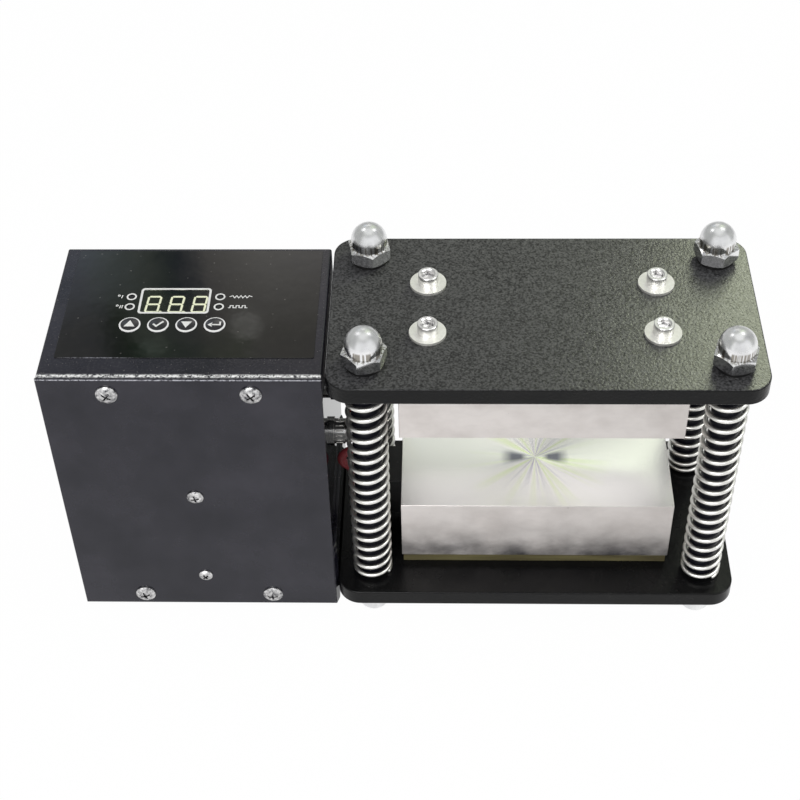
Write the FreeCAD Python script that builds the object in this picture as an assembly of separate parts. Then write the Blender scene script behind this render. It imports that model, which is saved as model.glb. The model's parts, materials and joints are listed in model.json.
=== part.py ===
import FreeCAD, Part

import math
import os

from FreeCAD import Vector

# Caged pair of heated plates for a hydraulic press, with its temperature control box.
# Millimetres. X runs from the control box to the cage, the front faces -Y and +Z is up.
# The origin lies under the middle of the whole object, on the surface that it stands on.

# Cage plates
PLATE_W = 225.0
PLATE_D = 121.5
PLATE_T = 10.0
PLATE_SHIFT_Y = -0.75
PLATE_CORNER_R = 13.0
PLATE_EDGE_R = 0.8
PLATE_SPACING = 150.0

# Guide rods, and the nuts and washers on their threaded ends
ROD_PITCH_X = 187.6
ROD_PITCH_Y = 84.0
ROD_SHIFT_X = 0.9
ROD_D = 16.0
ROD_END_D = 14.0
ROD_END_REACH = 13.0
ROD_CHAMFER = 1.2
ROD_HOLE_CLEARANCE = 0.15
BUSH_D = 19.5
BUSH_RUNNING_CLEARANCE = 0.05
NUT_ACROSS_FLATS = 21.0
NUT_HEX_H = 8.2
NUT_H = 21.0
NUT_DOME_D = 19.5
NUT_CHAMFER_ANGLE = 30.0
NUT_FACE_SHARE = 0.96
NUT_BORE_CLEARANCE = 0.1
NUT_BORE_SPARE = 2.0
STOP_WASHER_D = 20.0
STOP_WASHER_T = 2.0
# How far each upper nut's front corner is turned from the front, towards +X, in degrees
NUT_TURNS = {"front_left": -15.0, "front_right": -16.0, "rear_left": 11.0, "rear_right": 13.0}

# Compression springs round the rods
SPRING_WIRE_D = 2.6
SPRING_MEAN_D = 19.9
SPRING_ACTIVE_TURNS = 18
SPRING_END_RISE = 3.1
SPRING_SEAT_CLEARANCE = 0.1
# Where the lower cut end of each spring points, in degrees from +X towards +Y
SPRING_END_ANGLES = {"front_left": -30.0, "front_right": -55.0, "rear_left": 60.0, "rear_right": 110.0}

# How much wider than its screw a hole is, on each side: tapped, and passing free
THREAD_CLEARANCE = 0.05
SCREW_CLEARANCE = 0.2
SMALL_SCREW_CLEARANCE = 0.15
HOLE_SPARE = 0.5
# Lengths below this count as nothing
TOLERANCE = 1e-6

# Heated blocks and the insulation boards behind them
BLOCK_W = 152.4
BLOCK_D = 76.2
BLOCK_H = 42.0
BLOCK_CHAMFER = 0.2
BOARD_T = 6.0
BOARD_INSET = 1.0
BLOCK_SCREW_PITCH_X = 121.6
BLOCK_SCREW_PITCH_Y = 39.6
BLOCK_SCREW_SHIFT_Y = 0.7
BLOCK_SCREW_D = 6.0
BLOCK_SCREW_HEAD_D = 10.8
BLOCK_SCREW_HEAD_H = 6.0
BLOCK_SCREW_HEAD_CHAMFER = 0.3
BLOCK_SCREW_KEY = 6.0
BLOCK_SCREW_KEY_DEPTH = 3.2
BLOCK_SCREW_MOUTH_D = 7.9
BLOCK_SCREW_MOUTH_DEPTH = 0.6
BLOCK_SCREW_ENGAGED = 12.0
BLOCK_SCREW_HOLE_CLEARANCE = 0.3
BLOCK_WASHER_D = 19.4
BLOCK_WASHER_T = 1.5

# Heaters and the temperature probe, in bores from the blocks' left ends
HEATER_D = 9.5
HEATER_LENGTH = 130.0
HEATER_PITCH = 19.0
HEATER_FROM_BACK = 23.0
PROBE_D = 4.0
PROBE_LENGTH = 70.0
PROBE_FROM_HEATERS = 9.0
BORE_CLEARANCE = 0.05
BORE_SPARE = 1.5
END_CAP_SHARE = 0.6
HEATER_CAP_LENGTH = 3.0
PROBE_TAIL_LENGTH = 4.0
COVER_W = 28.0
COVER_H = 26.0
COVER_DEPTH = 8.0
COVER_WALL = 1.0
COVER_SCREW_D = 3.0
COVER_SCREW_HEAD_D = 5.6
COVER_SCREW_HEAD_H = 2.0
COVER_SCREW_FROM_EDGE = 3.6
COVER_SCREW_ENGAGED = 5.0

# Control box, beside the cage on its left, fixed to the edge of the lower plate
BOX_W = 146.0
BOX_D = 105.0
BOX_H = 179.0
BOX_BELOW_CAGE = 10.5
BOX_SHIFT_Y = -0.5
BOX_WALL = 1.5
BOX_CORNER_R = 1.2
FLANGE_H = 16.0
SIDE_PLATE_T = 1.8
SIDE_PLATE_INSET = 0.3
SIDE_PLATE_ABOVE_CAGE_FLOOR = 30.0
SIDE_PLATE_BEVEL = 4.5
SIDE_PLATE_EDGE_T = 0.3
CAGE_SCREW_D = 5.0
CAGE_SCREW_HEAD_D = 9.2
CAGE_SCREW_HEAD_H = 3.4
CAGE_SCREW_ENGAGED = 14.0
CAGE_SCREW_PITCH = 30.0

# Cross-head screws on the front cover
COVER_PLATE_T = 1.5
COVER_EDGE_R = 0.45
FRONT_SCREW_PITCH_X = 74.0
FRONT_SCREW_SHIFT_X = -0.4
FRONT_SCREW_FROM_TOP = 10.0
FRONT_SCREW_FROM_BOTTOM = 8.7
FRONT_SCREW_D = 5.0
FRONT_SCREW_HEAD_D = 11.3
FRONT_SCREW_HEAD_H = 2.8
FRONT_SCREW_REACH = 6.0
# How far each cross recess is turned, in degrees: the corner screws one after another
FIRST_CROSS_TURN = 20.0
NEXT_CROSS_TURN = 35.0
LOWER_CROSS_TURN = 40.0
UPPER_CROSS_TURN = 10.0
INNER_SCREW_HEAD_H = 2.4
INNER_SCREW_REACH = 4.0
UPPER_INNER_SCREW_D = 4.0
UPPER_INNER_SCREW_HEAD_D = 9.0
LOWER_INNER_SCREW_D = 3.5
LOWER_INNER_SCREW_HEAD_D = 7.8
INNER_SCREW_PITCH = 66.0
LOWER_INNER_SCREW_Z = 25.5
LOWER_INNER_SCREW_SHIFT_X = -0.8
CROSS_WIDTH = 1.0
CROSS_DEPTH_SHARE = 0.6
CROSS_LENGTH_SHARE = 0.5
SCREW_RIM_SHARE = 0.3

# Control panel on the top of the box
FILM_W = 134.0
FILM_D = 86.7
FILM_T = 0.4
FILM_CORNER_R = 1.0
FILM_CENTRE_FROM_BOX_X = 1.4
FILM_FROM_BACK = 2.0
WINDOW_W = 36.8
WINDOW_D = 19.6
WINDOW_T = 0.9
WINDOW_CENTRE_X = -8.2
WINDOW_CENTRE_Y = 8.1
WINDOW_CORNER_R = 1.6
WINDOW_CLEARANCE = 0.1
DISPLAY_DEPTH = 3.0
DISPLAY_W = 37.6
DISPLAY_D = 19.0
DISPLAY_H = 7.0
LIGHT_D = 3.0
LIGHT_CLEARANCE = 0.15
LIGHT_BELOW_FILM_TOP = 0.2
LIGHT_EDGE_R = 0.5
LIGHT_PITCH_X = 47.5
LIGHT_PITCH_Y = 8.1
LIGHT_ROW_Y = 7.75
BUTTON_COUNT = 4
BUTTON_D = 11.4
BUTTON_PITCH = 14.9
BUTTON_ROW_X = -7.5
BUTTON_ROW_Y = -11.0
BUTTON_PROUD = 0.9
BUTTON_CROWN = 0.45
BUTTON_CLEARANCE = 0.3
BUTTON_TRAVEL = 0.6
BUTTON_COLLAR_D = 13.2
BUTTON_COLLAR_T = 0.8
BUTTON_NAMES = ("button_up", "button_select", "button_down", "button_accept")

# Electronics behind the panel
BOARD_W = 116.0
BOARD_D = 64.0
CIRCUIT_T = 1.6
CIRCUIT_SHIFT_Y = 2.0
STANDOFF_D = 6.0
STANDOFF_FROM_EDGE = 5.0
STANDOFF_SCREW_D = 3.0
STANDOFF_SCREW_HEAD_D = 5.6
STANDOFF_SCREW_HEAD_H = 2.0
STANDOFF_SCREW_REACH = 5.0
TACT_W = 6.0
TACT_BODY_H = 3.5
TACT_STEM_D = 3.4
TACT_GAP = 0.1

# Power parts inside the box
TRANSFORMER_W = 48.0
TRANSFORMER_H = 52.0
TRANSFORMER_D = 34.0
TRANSFORMER_CORE_D = 16.0
TRANSFORMER_EAR_T = 1.5
TRANSFORMER_EAR_W = 18.0
TRANSFORMER_EAR_SPARE = 6.0
RELAY_W = 45.0
RELAY_H = 62.0
RELAY_D = 23.0
RELAY_FROM_BOX_LEFT = 16.0
RELAY_FLOOR_Z = 91.0
RELAY_SCREW_PITCH = 47.6
RELAY_SCREW_D = 4.0
RELAY_SCREW_HEAD_D = 7.6
RELAY_SCREW_HEAD_H = 2.4
RELAY_FOOT_T = 4.0
RELAY_BODY_FROM_HEADS = 0.5

# Mains inlet, fuse drawer and power switch, on the back of the box
INLET_FLANGE_W = 40.0
INLET_FLANGE_H = 34.0
INLET_FLANGE_T = 3.0
INLET_EDGE_R = 1.0
INLET_BODY_W = 28.0
INLET_BODY_H = 28.0
INLET_BODY_D = 24.0
INLET_SOCKET_W = 24.4
INLET_SOCKET_H = 16.6
INLET_SOCKET_DEPTH = 18.0
INLET_SOCKET_RAISE = 4.4
INLET_PIN_LENGTH = 12.0
INLET_PIN_W = 2.0
INLET_PIN_H = 4.0
INLET_PIN_PITCH = 14.0
INLET_EARTH_OFFSET = 4.0
INLET_FROM_BOX_LEFT = 40.0
INLET_CENTRE_Z = 43.0
INLET_SCREW_PITCH = 34.0
INLET_SCREW_D = 3.0
INLET_SCREW_HEAD_D = 5.4
INLET_SCREW_HEAD_H = 1.8
FUSE_DRAWER_W = 22.0
FUSE_DRAWER_H = 7.0
FUSE_DRAWER_D = 16.0
FUSE_DRAWER_PROUD = 0.8
FUSE_DRAWER_DROP = 9.6
DRAWER_CLEARANCE = 0.2
DRAWER_NOTCH_W = 5.0
DRAWER_NOTCH_H = 1.6
DRAWER_NOTCH_DEPTH = 0.6
SWITCH_BEZEL_W = 15.0
SWITCH_BEZEL_H = 21.0
SWITCH_BEZEL_T = 2.0
SWITCH_EDGE_R = 0.8
SWITCH_BODY_W = 13.0
SWITCH_BODY_H = 19.0
SWITCH_BODY_D = 16.0
SWITCH_FROM_INLET = 42.0
ROCKER_W = 9.6
ROCKER_R = 8.2
ROCKER_PIVOT_DEPTH = 2.5
ROCKER_TILT = 8.0
ROCKER_CREASE = 3.4
ROCKER_BACK = 3.6
ROCKER_CLEARANCE = 0.3
ROCKER_PIN_D = 2.0
ROCKER_PIN_CLEARANCE = 0.05

# Connectors and leads between the box and the blocks, one of each for a block
SOCKET_FLANGE_D = 16.0
SOCKET_FLANGE_T = 2.0
SOCKET_BODY_D = 12.0
SOCKET_BODY_REACH = 10.0
SOCKET_NUT_D = 15.0
SOCKET_NUT_T = 2.5
SOCKET_HOLE_CLEARANCE = 0.1
PLUG_D = 14.0
PLUG_RING_LENGTH = 6.0
PLUG_BARREL_D = 12.4
PLUG_LENGTH = 11.5
PLUG_KNURLS = 16
PLUG_KNURL_DEPTH = 0.35
PLUG_KNURL_MARGIN = 1.0
CONNECTOR_OFFSET_Y = 18.0
CONNECTOR_ABOVE_CAGE_FLOOR = 87.0
LEAD_D = 5.0
LEAD_PORT_Y = 5.0
LEAD_PORT_LEDGE = 1.0
LEAD_ARC_SHARE = 0.45

# Places that follow from the sizes
TOTAL_W = BOX_W + SIDE_PLATE_T + PLATE_W
CAGE_X = TOTAL_W / 2.0 - PLATE_W / 2.0
CAGE_LEFT = TOTAL_W / 2.0 - PLATE_W
BOX_LEFT = -TOTAL_W / 2.0
BOX_RIGHT = BOX_LEFT + BOX_W
BOX_X = BOX_LEFT + BOX_W / 2.0
FLOOR_PLATE_Z = NUT_H + STOP_WASHER_T
FLOOR_PLATE_TOP = FLOOR_PLATE_Z + PLATE_T
HEAD_PLATE_Z = FLOOR_PLATE_TOP + PLATE_SPACING
HEAD_PLATE_TOP = HEAD_PLATE_Z + PLATE_T
LOWER_BLOCK_Z = FLOOR_PLATE_TOP + BOARD_T
LOWER_BLOCK_TOP = LOWER_BLOCK_Z + BLOCK_H
UPPER_BLOCK_TOP = HEAD_PLATE_Z - BOARD_T
UPPER_BLOCK_Z = UPPER_BLOCK_TOP - BLOCK_H
BLOCK_LEFT = CAGE_X - BLOCK_W / 2.0
BOX_Z = FLOOR_PLATE_Z - BOX_BELOW_CAGE
BOX_TOP = BOX_Z + BOX_H
BOX_FRONT = BOX_SHIFT_Y - BOX_D / 2.0
BOX_BACK = BOX_SHIFT_Y + BOX_D / 2.0
SHELL_FRONT = BOX_FRONT + COVER_PLATE_T
FILM_TOP = BOX_TOP + FILM_T
CIRCUIT_TOP = FILM_TOP - DISPLAY_DEPTH - DISPLAY_H
CONNECTOR_Z = FLOOR_PLATE_TOP + CONNECTOR_ABOVE_CAGE_FLOOR
PLUG_END = BOX_RIGHT + SOCKET_FLANGE_T + PLUG_LENGTH
COVER_LEFT = BLOCK_LEFT - COVER_DEPTH
LOWER_HEATER_Z = LOWER_BLOCK_Z + HEATER_FROM_BACK
UPPER_HEATER_Z = UPPER_BLOCK_TOP - HEATER_FROM_BACK


def block(x0, x1, y0, y1, z0, z1):
    """A box between two corners."""
    return Part.makeBox(x1 - x0, y1 - y0, z1 - z0, Vector(x0, y0, z0))


def rod_z(diameter, z0, z1, x=0.0, y=0.0):
    """A cylinder that stands on z0 and reaches z1."""
    return Part.makeCylinder(diameter / 2.0, z1 - z0, Vector(x, y, z0))


def rod_x(diameter, x0, x1, y, z):
    """A cylinder along X."""
    return Part.makeCylinder(diameter / 2.0, x1 - x0, Vector(x0, y, z), Vector(1, 0, 0))


def tapped(screw_d):
    """Diameter of the hole that a screw is threaded into."""
    return screw_d + 2.0 * THREAD_CLEARANCE


def rod_y(diameter, y0, y1, x, z):
    """A cylinder along Y."""
    return Part.makeCylinder(diameter / 2.0, y1 - y0, Vector(x, y0, z), Vector(0, 1, 0))


def turned(outline):
    """A solid turned about Z from a closed outline of (radius, height) points."""
    points = [Vector(r, 0, z) for r, z in outline]
    face = Part.Face(Part.makePolygon(points + points[:1]))
    return face.revolve(Vector(0, 0, 0), Vector(0, 0, 1), 360)


def cut_all(shape, tools):
    """The shape with every tool taken out of it."""
    return shape.cut(Part.makeCompound(tools)) if tools else shape


def one_solid(shape):
    """The single solid of a Boolean result, with split faces joined again."""
    solids = shape.removeSplitter().Solids
    if len(solids) != 1:
        raise ValueError("expected one solid, found %d" % len(solids))
    return solids[0]


def moved(shape, x, y, z):
    """A copy of the shape, moved."""
    copy = shape.copy()
    copy.translate(Vector(x, y, z))
    return copy


def rotated(shape, axis, degrees):
    """A copy of the shape, turned about an axis through the origin."""
    copy = shape.copy()
    copy.rotate(Vector(0, 0, 0), axis, degrees)
    return copy


def upright_edges(shape):
    """The straight edges that run along Z."""
    return [edge for edge in shape.Edges
            if abs(edge.Vertexes[0].X - edge.Vertexes[-1].X) < TOLERANCE
            and abs(edge.Vertexes[0].Y - edge.Vertexes[-1].Y) < TOLERANCE
            and edge.Length > TOLERANCE and len(edge.Vertexes) == 2]


def rounded_plate(x, y, width, depth, z0, z1, corner_r, edge_r=0.0):
    """A flat plate centred on (x, y), with rounded corners and, if asked, soft edges."""
    plate = block(x - width / 2.0, x + width / 2.0, y - depth / 2.0, y + depth / 2.0, z0, z1)
    plate = plate.makeFillet(corner_r, upright_edges(plate))
    if edge_r > 0.0:
        rims = [edge for face in plate.Faces for edge in face.Edges
                if abs(face.normalAt(0, 0).z) > 0.999]
        plate = plate.makeFillet(edge_r, rims)
    return plate


def corners(pitch_x, pitch_y, x=0.0, y=0.0):
    """The four corners of a rectangle about (x, y), by name."""
    return {
        "front_left": (x - pitch_x / 2.0, y - pitch_y / 2.0),
        "front_right": (x + pitch_x / 2.0, y - pitch_y / 2.0),
        "rear_left": (x - pitch_x / 2.0, y + pitch_y / 2.0),
        "rear_right": (x + pitch_x / 2.0, y + pitch_y / 2.0),
    }


ROD_PLACES = corners(ROD_PITCH_X, ROD_PITCH_Y, CAGE_X + ROD_SHIFT_X)
BLOCK_SCREW_PLACES = corners(BLOCK_SCREW_PITCH_X, BLOCK_SCREW_PITCH_Y, CAGE_X, BLOCK_SCREW_SHIFT_Y)


def hexagon(across_flats, z0, z1, first_corner=0.0):
    """A hexagonal prism, with its first corner turned from -Y towards +X."""
    radius = across_flats / math.sqrt(3.0)
    points = []
    for i in range(6):
        angle = math.radians(-90.0 + first_corner + 60.0 * i)
        points.append(Vector(radius * math.cos(angle), radius * math.sin(angle), z0))
    return Part.Face(Part.makePolygon(points + points[:1])).extrude(Vector(0, 0, z1 - z0))


def dome_nut(first_corner):
    """A dome nut that stands on z = 0, with a blind bore from below."""
    corner_r = NUT_ACROSS_FLATS / math.sqrt(3.0)
    face_r = NUT_ACROSS_FLATS / 2.0 * NUT_FACE_SHARE
    drop = (corner_r - face_r) * math.tan(math.radians(NUT_CHAMFER_ANGLE))
    trim = turned([(0, 0), (face_r, 0), (corner_r, drop), (corner_r, NUT_HEX_H - drop),
                   (face_r, NUT_HEX_H), (0, NUT_HEX_H)])
    hexagonal = hexagon(NUT_ACROSS_FLATS, 0, NUT_HEX_H, first_corner).common(trim)
    dome_r = NUT_DOME_D / 2.0
    centre_z = NUT_H - dome_r
    side = Part.LineSegment(Vector(dome_r, 0, NUT_HEX_H / 2.0), Vector(dome_r, 0, centre_z))
    slant = dome_r * math.sqrt(0.5)
    crown = Part.Arc(Vector(dome_r, 0, centre_z), Vector(slant, 0, centre_z + slant),
                     Vector(0, 0, NUT_H))
    axis = Part.LineSegment(Vector(0, 0, NUT_H), Vector(0, 0, NUT_HEX_H / 2.0))
    base = Part.LineSegment(Vector(0, 0, NUT_HEX_H / 2.0), Vector(dome_r, 0, NUT_HEX_H / 2.0))
    outline = Part.Wire([side.toShape(), crown.toShape(), axis.toShape(), base.toShape()])
    dome = Part.Face(outline).revolve(Vector(0, 0, 0), Vector(0, 0, 1), 360)
    bore = rod_z(ROD_END_D + 2.0 * NUT_BORE_CLEARANCE, 0, ROD_END_REACH + NUT_BORE_SPARE)
    return one_solid(hexagonal.fuse(dome).cut(bore))


def washer(outer_d, inner_d, thickness):
    """A flat washer that lies on z = 0."""
    return rod_z(outer_d, 0, thickness).cut(rod_z(inner_d, 0, thickness))


def cap_screw(length):
    """A socket head screw: the head stands on z = 0 and the shank hangs below."""
    radius = BLOCK_SCREW_HEAD_D / 2.0
    top = BLOCK_SCREW_HEAD_H
    head = turned([(0, 0), (radius, 0), (radius, top - BLOCK_SCREW_HEAD_CHAMFER),
                   (radius - BLOCK_SCREW_HEAD_CHAMFER, top), (0, top)])
    shank = rod_z(BLOCK_SCREW_D, -length, 0)
    socket = hexagon(BLOCK_SCREW_KEY, top - BLOCK_SCREW_KEY_DEPTH, top)
    mouth_low = top - BLOCK_SCREW_MOUTH_DEPTH
    mouth = turned([(0, mouth_low), (BLOCK_SCREW_MOUTH_D / 2.0 - BLOCK_SCREW_MOUTH_DEPTH, mouth_low),
                    (BLOCK_SCREW_MOUTH_D / 2.0, top), (0, top)])
    return one_solid(head.fuse(shank).cut(socket.fuse(mouth)))


def crown_arc(radius, rim_z, top_z):
    """The arc of a shallow crown, from its rim up to its top on the axis."""
    rise = top_z - rim_z
    sphere_r = (radius * radius + rise * rise) / (2.0 * rise)
    half_angle = math.asin(radius / sphere_r) / 2.0
    middle = Vector(sphere_r * math.sin(half_angle), 0, top_z - sphere_r * (1.0 - math.cos(half_angle)))
    return Part.Arc(Vector(radius, 0, rim_z), middle, Vector(0, 0, top_z))


def cross_screw(head_d, head_h, shank_d, length, cross_turn=0.0):
    """A domed cross-head screw: the head stands on z = 0 and the shank hangs below."""
    rim = head_h * SCREW_RIM_SHARE
    head_r = head_d / 2.0
    side = Part.LineSegment(Vector(head_r, 0, 0), Vector(head_r, 0, rim))
    crown = crown_arc(head_r, rim, head_h)
    axis = Part.LineSegment(Vector(0, 0, head_h), Vector(0, 0, 0))
    base = Part.LineSegment(Vector(0, 0, 0), Vector(head_r, 0, 0))
    outline = Part.Wire([side.toShape(), crown.toShape(), axis.toShape(), base.toShape()])
    head = Part.Face(outline).revolve(Vector(0, 0, 0), Vector(0, 0, 1), 360)
    half = head_d * CROSS_LENGTH_SHARE / 2.0
    depth = head_h * CROSS_DEPTH_SHARE
    bars = []
    for turn in (cross_turn, cross_turn + 90.0):
        bar = block(-half, half, -CROSS_WIDTH / 2.0, CROSS_WIDTH / 2.0, head_h - depth, 2.0 * head_h)
        bars.append(rotated(bar, Vector(0, 0, 1), turn))
    return one_solid(cut_all(head.fuse(rod_z(shank_d, -length, 0)), bars))


def biarc(start, start_direction, end, end_direction):
    """Two arcs that join two points smoothly."""
    chord = end - start
    total = start_direction + end_direction
    a = 2.0 * (start_direction.dot(end_direction) - 1.0)
    b = -2.0 * chord.dot(total)
    c = chord.dot(chord)
    reach = (-b - math.sqrt(b * b - 4.0 * a * c)) / (2.0 * a)
    first_apex = start + start_direction * reach
    last_apex = end - end_direction * reach
    joint = (first_apex + last_apex) * 0.5
    edges = []
    for p0, apex, p1 in ((start, first_apex, joint), (joint, last_apex, end)):
        centre = (p0 + p1) * 0.5
        rise = (apex - centre).Length
        half_chord = (p1 - p0).Length / 2.0
        sagitta = half_chord * (reach - half_chord) / rise
        middle = centre + (apex - centre) * (sagitta / rise)
        edges.append(Part.Arc(p0, middle, p1).toShape())
    return edges


def tube_along(edges, start, direction, diameter):
    """A round tube along a wire, with its length, checked against its section."""
    path = Part.Wire(edges)
    section = Part.Wire(Part.Circle(start, direction, diameter / 2.0).toShape())
    tube = path.makePipeShell([section], True, False)
    solid = tube if tube.ShapeType == "Solid" else Part.Solid(tube)
    if solid.Volume < 0:
        solid.reverse()
    expected = math.pi * diameter * diameter / 4.0 * path.Length
    if abs(solid.Volume / expected - 1.0) > 0.01:
        raise ValueError("a tube's volume is %.1f, not %.1f" % (solid.Volume, expected))
    return solid, path.Length


def spring_height(turn):
    """Height of the wire's centre above its lower end, after a number of turns."""
    free = PLATE_SPACING - 2.0 * SPRING_SEAT_CLEARANCE - SPRING_WIRE_D - 2.0 * SPRING_END_RISE
    if turn <= 1.0:
        return SPRING_END_RISE * turn
    if turn <= 1.0 + SPRING_ACTIVE_TURNS:
        return SPRING_END_RISE + free * (turn - 1.0) / SPRING_ACTIVE_TURNS
    return SPRING_END_RISE + free + SPRING_END_RISE * (turn - 1.0 - SPRING_ACTIVE_TURNS)


def spring(end_angle):
    """A right-handed compression spring about Z, with closed ends that aren't ground."""
    radius = SPRING_MEAN_D / 2.0
    turns = SPRING_ACTIVE_TURNS + 2
    steps_per_turn = 2
    base_z = FLOOR_PLATE_TOP + SPRING_SEAT_CLEARANCE + SPRING_WIRE_D / 2.0

    def point(turn):
        angle = math.radians(end_angle) + 2.0 * math.pi * turn
        return Vector(radius * math.cos(angle), radius * math.sin(angle), base_z + spring_height(turn))

    def direction(turn):
        angle = math.radians(end_angle) + 2.0 * math.pi * turn
        nudge = 0.01
        low = max(turn - nudge, 0.0)
        high = min(turn + nudge, float(turns))
        climb = (spring_height(high) - spring_height(low)) / (high - low) / (2.0 * math.pi)
        level = 0.0 if turn in (0, turns) else climb
        along = Vector(-radius * math.sin(angle), radius * math.cos(angle), level)
        return along.normalize()

    count = turns * steps_per_turn
    knots = [point(i / steps_per_turn) for i in range(count + 1)]
    ways = [direction(i / steps_per_turn) for i in range(count + 1)]
    first = knots[0] - ways[0] * SPRING_WIRE_D
    last = knots[-1] + ways[-1] * SPRING_WIRE_D
    edges = [Part.LineSegment(first, knots[0]).toShape()]
    for i in range(count):
        edges += biarc(knots[i], ways[i], knots[i + 1], ways[i + 1])
    edges.append(Part.LineSegment(knots[-1], last).toShape())
    tube, length = tube_along(edges, first, ways[0], SPRING_WIRE_D)
    return tube, length, least_gap(edges, SPRING_WIRE_D)


def least_gap(edges, diameter):
    """The least free gap between stretches of a wound tube that aren't neighbours."""
    points = []
    travelled = 0.0
    for edge in edges:
        count = max(2, int(edge.Length / 1.2))
        for i, place in enumerate(edge.discretize(count + 1)[:-1]):
            points.append((travelled + edge.Length * i / count, place))
        travelled += edge.Length
    apart = math.pi * SPRING_MEAN_D / 2.0
    least = 1e9
    for i, (s0, p0) in enumerate(points):
        for s1, p1 in points[i + 1:]:
            if s1 - s0 < apart:
                continue
            if s1 - s0 > 3.0 * apart:
                break
            least = min(least, (p1 - p0).Length)
    return least - diameter


def lead(name, points, diameter):
    """A lead of straight runs joined by tangent arcs, each as large as its runs allow."""
    route = [Vector(*p) for p in points]
    edges = []
    radii = []
    here = route[0]
    for before, corner, after in zip(route, route[1:], route[2:]):
        way_in = (corner - before).normalize()
        way_out = (after - corner).normalize()
        turn = way_in.getAngle(way_out)
        shorter = min((corner - before).Length, (after - corner).Length)
        cut_back = LEAD_ARC_SHARE * shorter
        radius = cut_back / math.tan(turn / 2.0)
        radii.append(radius)
        arc_start = corner - way_in * cut_back
        arc_end = corner + way_out * cut_back
        inward = (way_out - way_in).normalize()
        centre = corner + inward * (radius / math.cos(turn / 2.0))
        arc_middle = centre - inward * radius
        edges.append(Part.LineSegment(here, arc_start).toShape())
        edges.append(Part.Arc(arc_start, arc_middle, arc_end).toShape())
        here = arc_end
    edges.append(Part.LineSegment(here, route[-1]).toShape())
    tube, length = tube_along(edges, route[0], (route[1] - route[0]).normalize(), diameter)
    print("%s: length %.1f, radii %s" % (name, length, ", ".join("%.1f" % r for r in radii)))
    return tube


def cage_plate_blank(z0):
    """One cage plate, before its holes."""
    return rounded_plate(CAGE_X, PLATE_SHIFT_Y, PLATE_W, PLATE_D, z0, z0 + PLATE_T, PLATE_CORNER_R,
                         PLATE_EDGE_R)


def block_screw_holes(z0, z1):
    """Clearance holes for the screws that hold a heated block."""
    diameter = BLOCK_SCREW_D + 2.0 * BLOCK_SCREW_HOLE_CLEARANCE
    return [rod_z(diameter, z0, z1, x, y) for x, y in BLOCK_SCREW_PLACES.values()]


def cage_screw_places():
    """Y places of the screws that hold the box to the lower plate's edge."""
    return [BOX_SHIFT_Y + CAGE_SCREW_PITCH * i for i in (-1, 0, 1)]


def make_lower_plate():
    """The lower cage plate, which carries the rods, the lower block and the box."""
    holes = [rod_z(ROD_END_D + 2.0 * ROD_HOLE_CLEARANCE, FLOOR_PLATE_Z, FLOOR_PLATE_TOP, x, y)
             for x, y in ROD_PLACES.values()]
    holes += block_screw_holes(FLOOR_PLATE_Z, FLOOR_PLATE_TOP)
    centre_z = FLOOR_PLATE_Z + PLATE_T / 2.0
    holes += [rod_x(tapped(CAGE_SCREW_D), CAGE_LEFT, CAGE_LEFT + CAGE_SCREW_ENGAGED, y, centre_z)
              for y in cage_screw_places()]
    return one_solid(cut_all(cage_plate_blank(FLOOR_PLATE_Z), holes))


def make_upper_plate():
    """The upper cage plate, which slides on the rods."""
    holes = [rod_z(BUSH_D, HEAD_PLATE_Z, HEAD_PLATE_TOP, x, y) for x, y in ROD_PLACES.values()]
    holes += block_screw_holes(HEAD_PLATE_Z, HEAD_PLATE_TOP)
    return one_solid(cut_all(cage_plate_blank(HEAD_PLATE_Z), holes))


def make_guide_rod(x, y):
    """A stepped rod: shouldered between the plates, threaded size at both ends."""
    end_r = ROD_END_D / 2.0
    low = FLOOR_PLATE_Z - STOP_WASHER_T - ROD_END_REACH
    high = HEAD_PLATE_TOP + STOP_WASHER_T + ROD_END_REACH
    outline = [(0, low), (end_r - ROD_CHAMFER, low), (end_r, low + ROD_CHAMFER), (end_r, FLOOR_PLATE_TOP),
               (ROD_D / 2.0, FLOOR_PLATE_TOP), (ROD_D / 2.0, HEAD_PLATE_TOP), (end_r, HEAD_PLATE_TOP),
               (end_r, high - ROD_CHAMFER), (end_r - ROD_CHAMFER, high), (0, high)]
    return moved(turned(outline), x, y, 0)


def make_insulation_board(z0):
    """A heat insulating board between a block and its plate."""
    board = block(CAGE_X - BLOCK_W / 2.0 + BOARD_INSET, CAGE_X + BLOCK_W / 2.0 - BOARD_INSET,
                  -BLOCK_D / 2.0 + BOARD_INSET, BLOCK_D / 2.0 - BOARD_INSET, z0, z0 + BOARD_T)
    return one_solid(cut_all(board, block_screw_holes(z0, z0 + BOARD_T)))


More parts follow.
